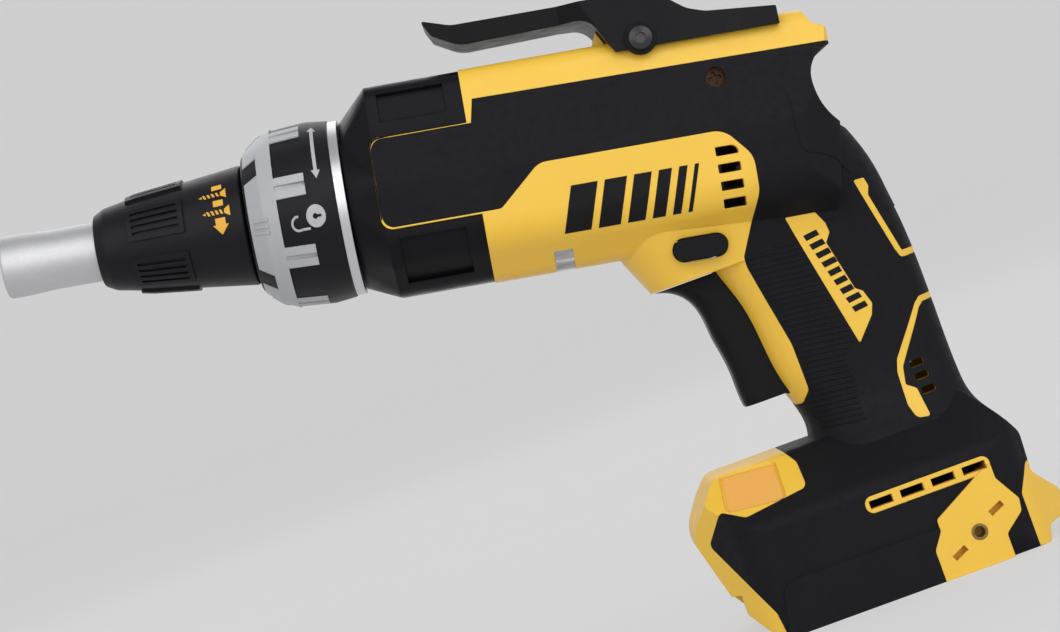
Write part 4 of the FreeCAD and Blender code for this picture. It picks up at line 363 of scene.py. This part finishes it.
def in_order(items, place):
    """Sort points or faces by their places, so that each run writes them in the same order."""
    rank = {item: index for index, item in enumerate(sorted(items, key=place))}
    items.sort(key=rank.get)


def piece(made, name, build, body):
    """Object of a finished mesh, riding on a body."""
    bmesh.ops.recalc_face_normals(made, faces=made.faces[:])
    in_order(made.verts, lambda vertex: vertex.co[:])
    in_order(made.faces, lambda face: face.calc_center_median()[:])
    mesh = bpy.data.meshes.new(name)
    made.to_mesh(mesh)
    made.free()
    mesh.materials.append(build.material)
    obj = bpy.data.objects.new(name, mesh)
    bpy.context.scene.collection.objects.link(obj)
    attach(obj, body)


def printed(name, outlines, place, tree, build, body, proud=PRINT_PROUD):
    """Thin print with sides; place gives the start and direction of the ray to the surface under a point."""
    made = flat_pieces(outlines)
    for vertex in made.verts:
        origin, direction = place(vertex.co.x, vertex.co.y)
        hit, normal, _, _ = tree.ray_cast(origin, direction)
        if normal.dot(direction) > 0:
            normal = -normal
        vertex.co = hit + normal * proud
    bmesh.ops.recalc_face_normals(made, faces=made.faces[:])
    rim = bmesh.ops.extrude_face_region(made, geom=made.faces[:])
    inward = place(0, 0)[1]
    for item in rim["geom"]:
        if isinstance(item, bmesh.types.BMVert):
            item.co += inward * proud * 2
    piece(made, name, build, body)


ROUND_RADIUS = 24.0


def on_round(along, angle):
    """Places on a round piece: u runs along the axis and v around it, both in mm from the middle given."""
    def place(u, v):
        turn = math.radians(angle) + v / ROUND_RADIUS
        outward = ACROSS * math.cos(turn) + UPRIGHT * math.sin(turn)
        return AXIS_POINT + AXIS * ((along + u) * MM) + outward * ROUND_RAY, -outward
    return place


def on_side(u, v):
    """Place on the barrel's left side: u along the axis and v above it, in mm."""
    return AXIS_POINT + AXIS * (u * MM) + UPRIGHT * (v * MM) + ACROSS * SIDE_RAY, -ACROSS


def bar(u0, v0, u1, v1):
    """Rectangle between two corners."""
    return [(u0, v0), (u1, v0), (u1, v1), (u0, v1)]


def slanted(u, v, length, height, lean):
    """Parallelogram from its lower front corner, leaning with its top."""
    return [(u, v), (u - length, v), (u - length + lean, v + height), (u + lean, v + height)]


def ring_points(radius, count, centre=(0, 0), start=0.0, stop=360.0):
    """Points along an arc."""
    u, v = centre
    turns = [math.radians(start + (stop - start) * index / count) for index in range(count + 1)]
    return [(u + radius * math.cos(turn), v + radius * math.sin(turn)) for turn in turns]


def arc_band(inner, outer, count, centre, start, stop):
    """Quads of a band along an arc."""
    first = ring_points(inner, count, centre, start, stop)
    second = ring_points(outer, count, centre, start, stop)
    return [[first[i], first[i + 1], second[i + 1], second[i]] for i in range(count)]


# Double arrow and padlock on the lock ring
ring_tree = surface_of("lock_ring", "lock_ring_grip")
ARROW_WING = 1.4
ARROW_STEM = 0.55
ARROW_NECK = 7.2
ARROW_TIP = 9.6
DOUBLE_ARROW = [
    [(-ARROW_WING, ARROW_NECK), (ARROW_WING, ARROW_NECK), (0, ARROW_TIP)],
    bar(-ARROW_STEM, -ARROW_NECK, ARROW_STEM, ARROW_NECK),
    [(-ARROW_WING, -ARROW_NECK), (0, -ARROW_TIP), (ARROW_WING, -ARROW_NECK)],
]
LOCK_RADIUS = 3.0
LOCK_CENTRE = (-1.6, 0)
SHACKLE_INNER = 1.5
SHACKLE_OUTER = 2.2
SHACKLE_CENTRE = (4.1, -1.3)
PADLOCK = [ring_points(LOCK_RADIUS, 20, LOCK_CENTRE)[:-1]]
PADLOCK += arc_band(SHACKLE_INNER, SHACKLE_OUTER, 12, SHACKLE_CENTRE, -120, 100)
PADLOCK += [bar(0.6, -3.3, 3.1, -2.6)]
KEYHOLE_RADIUS = 0.75
KEYHOLE_CENTRE = (-1.4, 0)
KEYHOLE = [ring_points(KEYHOLE_RADIUS, 12, KEYHOLE_CENTRE)[:-1], bar(-3.2, -0.35, -1.4, 0.35)]
on_arrow = on_round(4.8, 42)
on_padlock = on_round(8.4, -4)
printed("ring_arrow", DOUBLE_ARROW, on_arrow, ring_tree, GREY_INK, "lock_ring")
printed("ring_padlock", PADLOCK, on_padlock, ring_tree, GREY_INK, "lock_ring")
printed("ring_keyhole", KEYHOLE, on_padlock, ring_tree, INK, "lock_ring", 2 * PRINT_PROUD)

# Screws and arrow on the depth collar
collar_tree = surface_of("depth_collar")
TURN_COUNT = 4
TURN_PITCH = 1.35
TURN_WIDTH = 0.75
TURN_LEAN = 0.6
TURN_HALF = 1.0


def screw_mark(u, v):
    """Countersunk screw seen from the side: head, slanted turns and a small tip."""
    marks = [[(u - 4.0, v - 2.3), (u - 2.2, v - 0.9), (u - 2.2, v + 0.9), (u - 4.0, v + 2.3)]]
    for index in range(TURN_COUNT):
        start = u - 1.9 + index * TURN_PITCH
        marks.append(slanted(start, v - TURN_HALF, -TURN_WIDTH, 2 * TURN_HALF, TURN_LEAN))
    marks.append([(u + 3.5, v - 0.7), (u + 4.7, v), (u + 3.7, v + 0.7)])
    return marks


STEM = 1.6
DEPTH_MARK = [[(-2.5, -2.2), (0, -6.4), (2.5, -2.2)], bar(-STEM, -2.2, STEM, 0.6), bar(-STEM, 5.6, STEM, 8.4)]
DEPTH_MARK += screw_mark(0.6, 3.1) + screw_mark(1.2, 11.2) + [bar(-STEM, 13.6, STEM, 16.2)]
printed("depth_mark", DEPTH_MARK, on_round(36.6, 8), collar_tree, ORANGE_INK, "depth_collar")

# Stripes on the barrel's plate, bars on the handle's badge and the patch on the foot's shoulder
side_tree = surface_of("housing_left", "housing_right")
STRIPE_WIDTHS = [8.2, 6.8, 5.4, 4.0, 2.6, 1.3]
STRIPE_GAP = 2.2
STRIPE_FRONT = -66.5
STRIPE_BOTTOM = -20.5
STRIPE_HEIGHT = 14.0
STRIPE_LEAN = -4.3
BADGE_TOP = Vector((-0.0090, 0, 0.1125))
BADGE_DOWN = Vector((-0.0080, 0, -0.0305)).normalized()
BADGE_ASIDE = Vector((BADGE_DOWN.z, 0, -BADGE_DOWN.x))
BADGE_COUNT = 9
BADGE_PITCH = 3.3
BADGE_WIDTH = 1.9
BADGE_HALF = 2.2
BADGE_LEAN = 0.6
BADGE_MARKS = [slanted(BADGE_PITCH * index, -BADGE_HALF, -BADGE_WIDTH, 2 * BADGE_HALF, BADGE_LEAN)
               for index in range(BADGE_COUNT)]
SHOULDER_PATCH = [[(25.4, 19.4), (42.1, 17.4), (44.0, 29.9), (26.6, 31.8)]]


def plate_marks():
    """Stripes that grow narrower towards the back."""
    stripes = []
    for index, width in enumerate(STRIPE_WIDTHS):
        front = STRIPE_FRONT - sum(STRIPE_WIDTHS[:index]) - index * STRIPE_GAP
        stripes.append(slanted(front, STRIPE_BOTTOM, width, STRIPE_HEIGHT, STRIPE_LEAN))
    return stripes


def on_badge(u, v):
    """Place on the handle's left badge: u down along it and v across it, in mm."""
    point = BADGE_TOP + BADGE_DOWN * (u * MM) + BADGE_ASIDE * (v * MM)
    return point + ACROSS * SIDE_RAY, -ACROSS


def on_shoulder(u, v):
    """Place on the foot's left shoulder: u forwards and v to the left, in mm."""
    return Vector((u * MM, v * MM, TOP_RAY)), Vector((0, 0, -1))


printed("shoulder_patch", SHOULDER_PATCH, on_shoulder, side_tree, AMBER_INK, "housing")
printed("plate_marks", plate_marks(), on_side, side_tree, INK, "housing")
printed("badge_marks", BADGE_MARKS, on_badge, side_tree, INK, "housing")

# Short raised ribs of the lock ring's silver grip, a quarter turn apart
RING_RIB_PITCH = 1.75
RING_RIB_HALF_LENGTH = 2.35
RING_RIB_HALF_WIDTH = 0.45
RING_RIB_ALONG = 23.85
RING_RIB_ANGLE = -5.5
RING_RIB_PROUD = 0.3 * MM
RING_RIBS = [bar(-RING_RIB_HALF_LENGTH, middle - RING_RIB_HALF_WIDTH,
                 RING_RIB_HALF_LENGTH, middle + RING_RIB_HALF_WIDTH)
             for middle in (-RING_RIB_PITCH, 0, RING_RIB_PITCH)]
for index in range(4):
    on_gap = on_round(RING_RIB_ALONG, 90 * index + RING_RIB_ANGLE)
    printed(f"ring_ribs_{index + 1}", RING_RIBS, on_gap, ring_tree,
            SILVER, "lock_ring", RING_RIB_PROUD)

# Ribs across the handle's soft grip, in places given as x and z in mm
RIB_PITCH = 1.75
RIB_HALF_WIDTH = 0.5 * MM
RIB_HEIGHT = 0.3 * MM
RIB_STEP = 1.0
RIB_LEAN = math.radians(8)
RIB_UP = Vector((-math.sin(RIB_LEAN), 0, math.cos(RIB_LEAN)))
RIB_LOWEST = 52.0
RIB_ZONE = [
    (14.0, 112.5), (-5.5, 111.5), (-11.5, 77.0), (-7.2, 72.0), (-6.6, RIB_LOWEST), (9.0, 54.0), (8.0, 64.0),
]
RIB_COUNT = 40
RIB_REACH = 22
LEAST_POINTS = 4
SUNK = 0.15 * MM
TOP_SHARE = 0.55
grip_tree = surface_of("grip_left", "grip_right")


def inside(zone, x, z):
    """True where a point lies within an outline."""
    crossed = False
    for (x0, z0), (x1, z1) in zip(zone, zone[1:] + zone[:1]):
        if (z0 > z) != (z1 > z) and x < x0 + (x1 - x0) * (z - z0) / (z1 - z0):
            crossed = not crossed
    return crossed


def on_grip(x, z, side):
    """Point and outward direction of the grip's outer face, or nothing where the yellow shell covers it."""
    origin = Vector((x * MM, side * SIDE_RAY, z * MM))
    hit, normal, _, distance = grip_tree.ray_cast(origin, ACROSS * -side)
    shell = side_tree.ray_cast(origin, ACROSS * -side)[3]
    if hit is None or (shell is not None and shell < distance):
        return None
    return hit, normal if normal.y * side > 0 else -normal


def rib_runs(index, side):
    """Unbroken stretches of one rib's middle line on the grip."""
    runs = [[]]
    for step in range(-RIB_REACH, RIB_REACH + 1):
        x = step * RIB_STEP * math.cos(RIB_LEAN)
        z = RIB_LOWEST + index * RIB_PITCH + step * RIB_STEP * math.sin(RIB_LEAN)
        found = on_grip(x, z, side) if inside(RIB_ZONE, x, z) else None
        if found:
            runs[-1].append(found)
        elif runs[-1]:
            runs.append([])
    return [run for run in runs if len(run) >= LEAST_POINTS]


def section(point, outward, aside, half_width, height):
    """Corners of a low ridge's cross section, from its sunk foot to its narrower top."""
    foot = [point - outward * SUNK + aside * (half_width * share) for share in (-1, 1)]
    top = [point + outward * height + aside * (half_width * share) for share in (TOP_SHARE, -TOP_SHARE)]
    return foot + top


def ridge(made, sections):
    """Closed ridge through four-cornered sections."""
    loops = [[made.verts.new(corner) for corner in corners] for corners in sections]
    for first, second in zip(loops, loops[1:]):
        for corner in range(4):
            made.faces.new((first[corner - 1], first[corner], second[corner], second[corner - 1]))
    made.faces.new(loops[0])
    made.faces.new(loops[-1])


def grip_ribs():
    """All ribs of both sides, tapered at their ends, as one piece."""
    made = bmesh.new()
    for side in BOTH_SIDES:
        for index in range(RIB_COUNT):
            for run in rib_runs(index, side):
                heights = [0.0] + [RIB_HEIGHT] * (len(run) - 2) + [0.0]
                ridge(made, [section(point, outward, RIB_UP, RIB_HALF_WIDTH, height)
                             for (point, outward), height in zip(run, heights)])
    piece(made, "grip_ribs", RUBBER, "housing")


grip_ribs()

# Beads along edges: the panel's lip along and above the barrel's axis, the crease as x and z, in mm
outer_tree = surface_of("housing_left", "housing_right", "grip_left", "grip_right", "gear_case")
BEAD_HALF_WIDTH = 0.3 * MM
BEAD_HEIGHT = 0.2 * MM
PANEL_FRONT = -12.5
PANEL_TOP = 18.2
PANEL_ROUND = 3.5
PANEL_LINE = 0.5
PANEL_CORNER = (PANEL_FRONT - PANEL_ROUND, PANEL_TOP - PANEL_ROUND)
LIP_BACK = -43.0
LIP_CORNER_END = 13.0
LIP_STEP = 2.0
LIP_PATH = [(LIP_STEP * index + LIP_BACK, PANEL_TOP - PANEL_LINE / 10) for index in range(13)]
LIP_PATH += ring_points(PANEL_ROUND - PANEL_LINE / 2, 8, PANEL_CORNER, 80, 0)
LIP_PATH += [(PANEL_FRONT - PANEL_LINE / 2, LIP_CORNER_END - LIP_STEP * index) for index in range(11)]
CREASE_PATH = [(-16.2, 154.7), (-15.4, 147.0), (-14.3, 136.0), (-18.5, 134.6), (-23.3, 131.4), (-27.2, 125.1)]
CORNER_CUTS = 3
CORNER_SHARE = 0.25


def smoothed(points):
    """Path with its corners cut off several times over."""
    for _ in range(CORNER_CUTS):
        cut = [points[0]]
        for (x0, z0), (x1, z1) in zip(points, points[1:]):
            cut.append((x0 + (x1 - x0) * CORNER_SHARE, z0 + (z1 - z0) * CORNER_SHARE))
            cut.append((x1 - (x1 - x0) * CORNER_SHARE, z1 - (z1 - z0) * CORNER_SHARE))
        cut.append(points[-1])
        points = cut
    return points


def upright(x, z):
    """Place on the left side: x and z in mm."""
    return Vector((x * MM, SIDE_RAY, z * MM)), -ACROSS


def beads(name, path, place, build):
    """Low bead along a path on both sides of the tool."""
    made = bmesh.new()
    for side in BOTH_SIDES:
        mirror = Vector((1, side, 1))
        found = [outer_tree.ray_cast(origin * mirror, direction * mirror)[:2]
                 for origin, direction in (place(u, v) for u, v in path)]
        last = len(found) - 1
        sections = []
        for index, (point, normal) in enumerate(found):
            outward = normal if normal.y * side > 0 else -normal
            along = found[min(index + 1, last)][0] - found[max(index - 1, 0)][0]
            aside = along.cross(outward).normalized()
            height = BEAD_HEIGHT if 0 < index < last else 0.0
            sections.append(section(point, outward, aside, BEAD_HALF_WIDTH, height))
        ridge(made, sections)
    piece(made, name, build, "housing")


beads("panel_lip", LIP_PATH, on_side, CASE)
beads("grip_crease", smoothed(CREASE_PATH), upright, RUBBER)


def coil(name, body, axis):
    """Copy of a CAD spring that rides on a body in place of the hidden CAD node; its form is left unchanged.
    """
    mesh = nodes[name].data.copy()
    reach = [vertex.co.dot(axis) for vertex in mesh.vertices]
    obj = bpy.data.objects.new(name + "_coil", mesh)
    bpy.context.scene.collection.objects.link(obj)
    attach(obj, body)
    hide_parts(name)
    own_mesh(obj)


coil("trigger_spring", "housing", Vector((1, 0, 0)))
coil("clutch_spring", "drive_gear", AXIS)

# Floor: radius and height of each ring, in metres
FLOOR_PROFILE = [(1.2, 0.0), (2.2, 0.0), (2.7, 0.06), (3.1, 0.28), (3.35, 0.7), (3.45, 1.4), (3.45, 3.2)]
FLOOR_SIDES = 64
FLOOR_DARK = (0.66, 0.66, 0.665)
FLOOR_LIGHT = (0.70, 0.70, 0.705)
FLOOR_GLOW = 0.75


def floor_mesh():
    """Round floor that curves up into a backdrop all round."""
    made = bmesh.new()
    turns = [2 * math.pi * index / FLOOR_SIDES for index in range(FLOOR_SIDES)]
    rings = []
    for reach, height in FLOOR_PROFILE:
        rings.append([made.verts.new((reach * math.cos(turn), reach * math.sin(turn), height))
                      for turn in turns])
    made.faces.new(rings[0])
    for low, high in zip(rings, rings[1:]):
        for index in range(FLOOR_SIDES):
            made.faces.new((low[index - 1], low[index], high[index], high[index - 1]))
    bmesh.ops.recalc_face_normals(made, faces=made.faces[:])
    for face in made.faces:
        face.smooth = True
    mesh = bpy.data.meshes.new("studio_floor")
    made.to_mesh(mesh)
    made.free()
    return mesh


def floor_material():
    """Pale matt surface that keeps the shadow and looks even to the camera, in metal and through glass."""
    build = Build("studio_floor")
    build.colour(build.noise(3.0, 2.0), FLOOR_DARK, FLOOR_LIGHT)
    build.link(build.spread(build.noise(40), 0.75, 0.9), build.shader.inputs["Roughness"])
    glow = build.node("ShaderNodeEmission")
    build.feed(glow.inputs["Color"], FLOOR_LIGHT)
    mixed = build.node("ShaderNodeMixShader")
    ray = build.node("ShaderNodeLightPath").outputs
    seen = build.math("MAXIMUM", ray["Is Camera Ray"], ray["Is Glossy Ray"])
    seen = build.math("MAXIMUM", seen, ray["Is Transmission Ray"])
    build.link(build.math("MULTIPLY", seen, FLOOR_GLOW), mixed.inputs["Fac"])
    build.link(build.shader.outputs["BSDF"], mixed.inputs[1])
    build.link(glow.outputs["Emission"], mixed.inputs[2])
    build.link(mixed.outputs["Shader"], build.tree.nodes["Material Output"].inputs["Surface"])
    return build.material


floor = bpy.data.objects.new("studio_floor", floor_mesh())
floor.data.materials.append(floor_material())
bpy.context.scene.collection.objects.link(floor)

# Soft boxes: place and size in metres, and power in watts
LIGHTS = {
    "key_light": ((0.5, 1.9, 1.2), (4.0, 2.4), 34),
    "fill_light": ((-1.3, 1.3, 0.8), (2.2, 2.2), 15),
    "back_light": ((0.2, -1.5, 1.4), (2.0, 1.6), 11),
}
LIGHT_TARGET = Vector((0.08, 0.0, 0.12))
WORLD_COLOUR = (0.85, 0.86, 0.88, 1)
WORLD_STRENGTH = 0.55


def area_light(name, location, size, power):
    """Soft box aimed at the tool."""
    data = bpy.data.lights.new(name, "AREA")
    data.shape = "RECTANGLE"
    data.size, data.size_y = size
    data.energy = power
    lamp = bpy.data.objects.new(name, data)
    lamp.location = location
    lamp.rotation_mode = "QUATERNION"
    lamp.rotation_quaternion = (LIGHT_TARGET - Vector(location)).to_track_quat("-Z", "Y")
    bpy.context.scene.collection.objects.link(lamp)


for name, (location, size, power) in LIGHTS.items():
    area_light(name, location, size, power)

world = bpy.data.worlds.new("studio")
world.use_nodes = True
background = world.node_tree.nodes["Background"]
background.inputs["Color"].default_value = WORLD_COLOUR
background.inputs["Strength"].default_value = WORLD_STRENGTH
bpy.context.scene.world = world
bpy.context.scene.view_settings.view_transform = "Standard"

# Camera square to the left side, rolled as in the photograph
FOCAL_PIXELS = 3000
IMAGE_WIDTH = 1060
SENSOR_WIDTH = 36
ROLL = math.radians(20)
LOOK_AT = Vector((0.080, 0.0, 0.1175))
DISTANCE = 0.9375
camera_data = bpy.data.cameras.new("camera")
camera_data.sensor_width = SENSOR_WIDTH
camera_data.lens = FOCAL_PIXELS / IMAGE_WIDTH * SENSOR_WIDTH
camera = bpy.data.objects.new("camera", camera_data)
bpy.context.scene.collection.objects.link(camera)
right = Vector((-math.cos(ROLL), 0, -math.sin(ROLL)))
upward = Vector((-math.sin(ROLL), 0, math.cos(ROLL)))
backward = right.cross(upward)
turned = Matrix((right, upward, backward)).transposed().to_4x4()
camera.matrix_world = Matrix.Translation(LOOK_AT + backward * DISTANCE) @ turned
bpy.context.scene.camera = camera

bpy.context.view_layer.update()
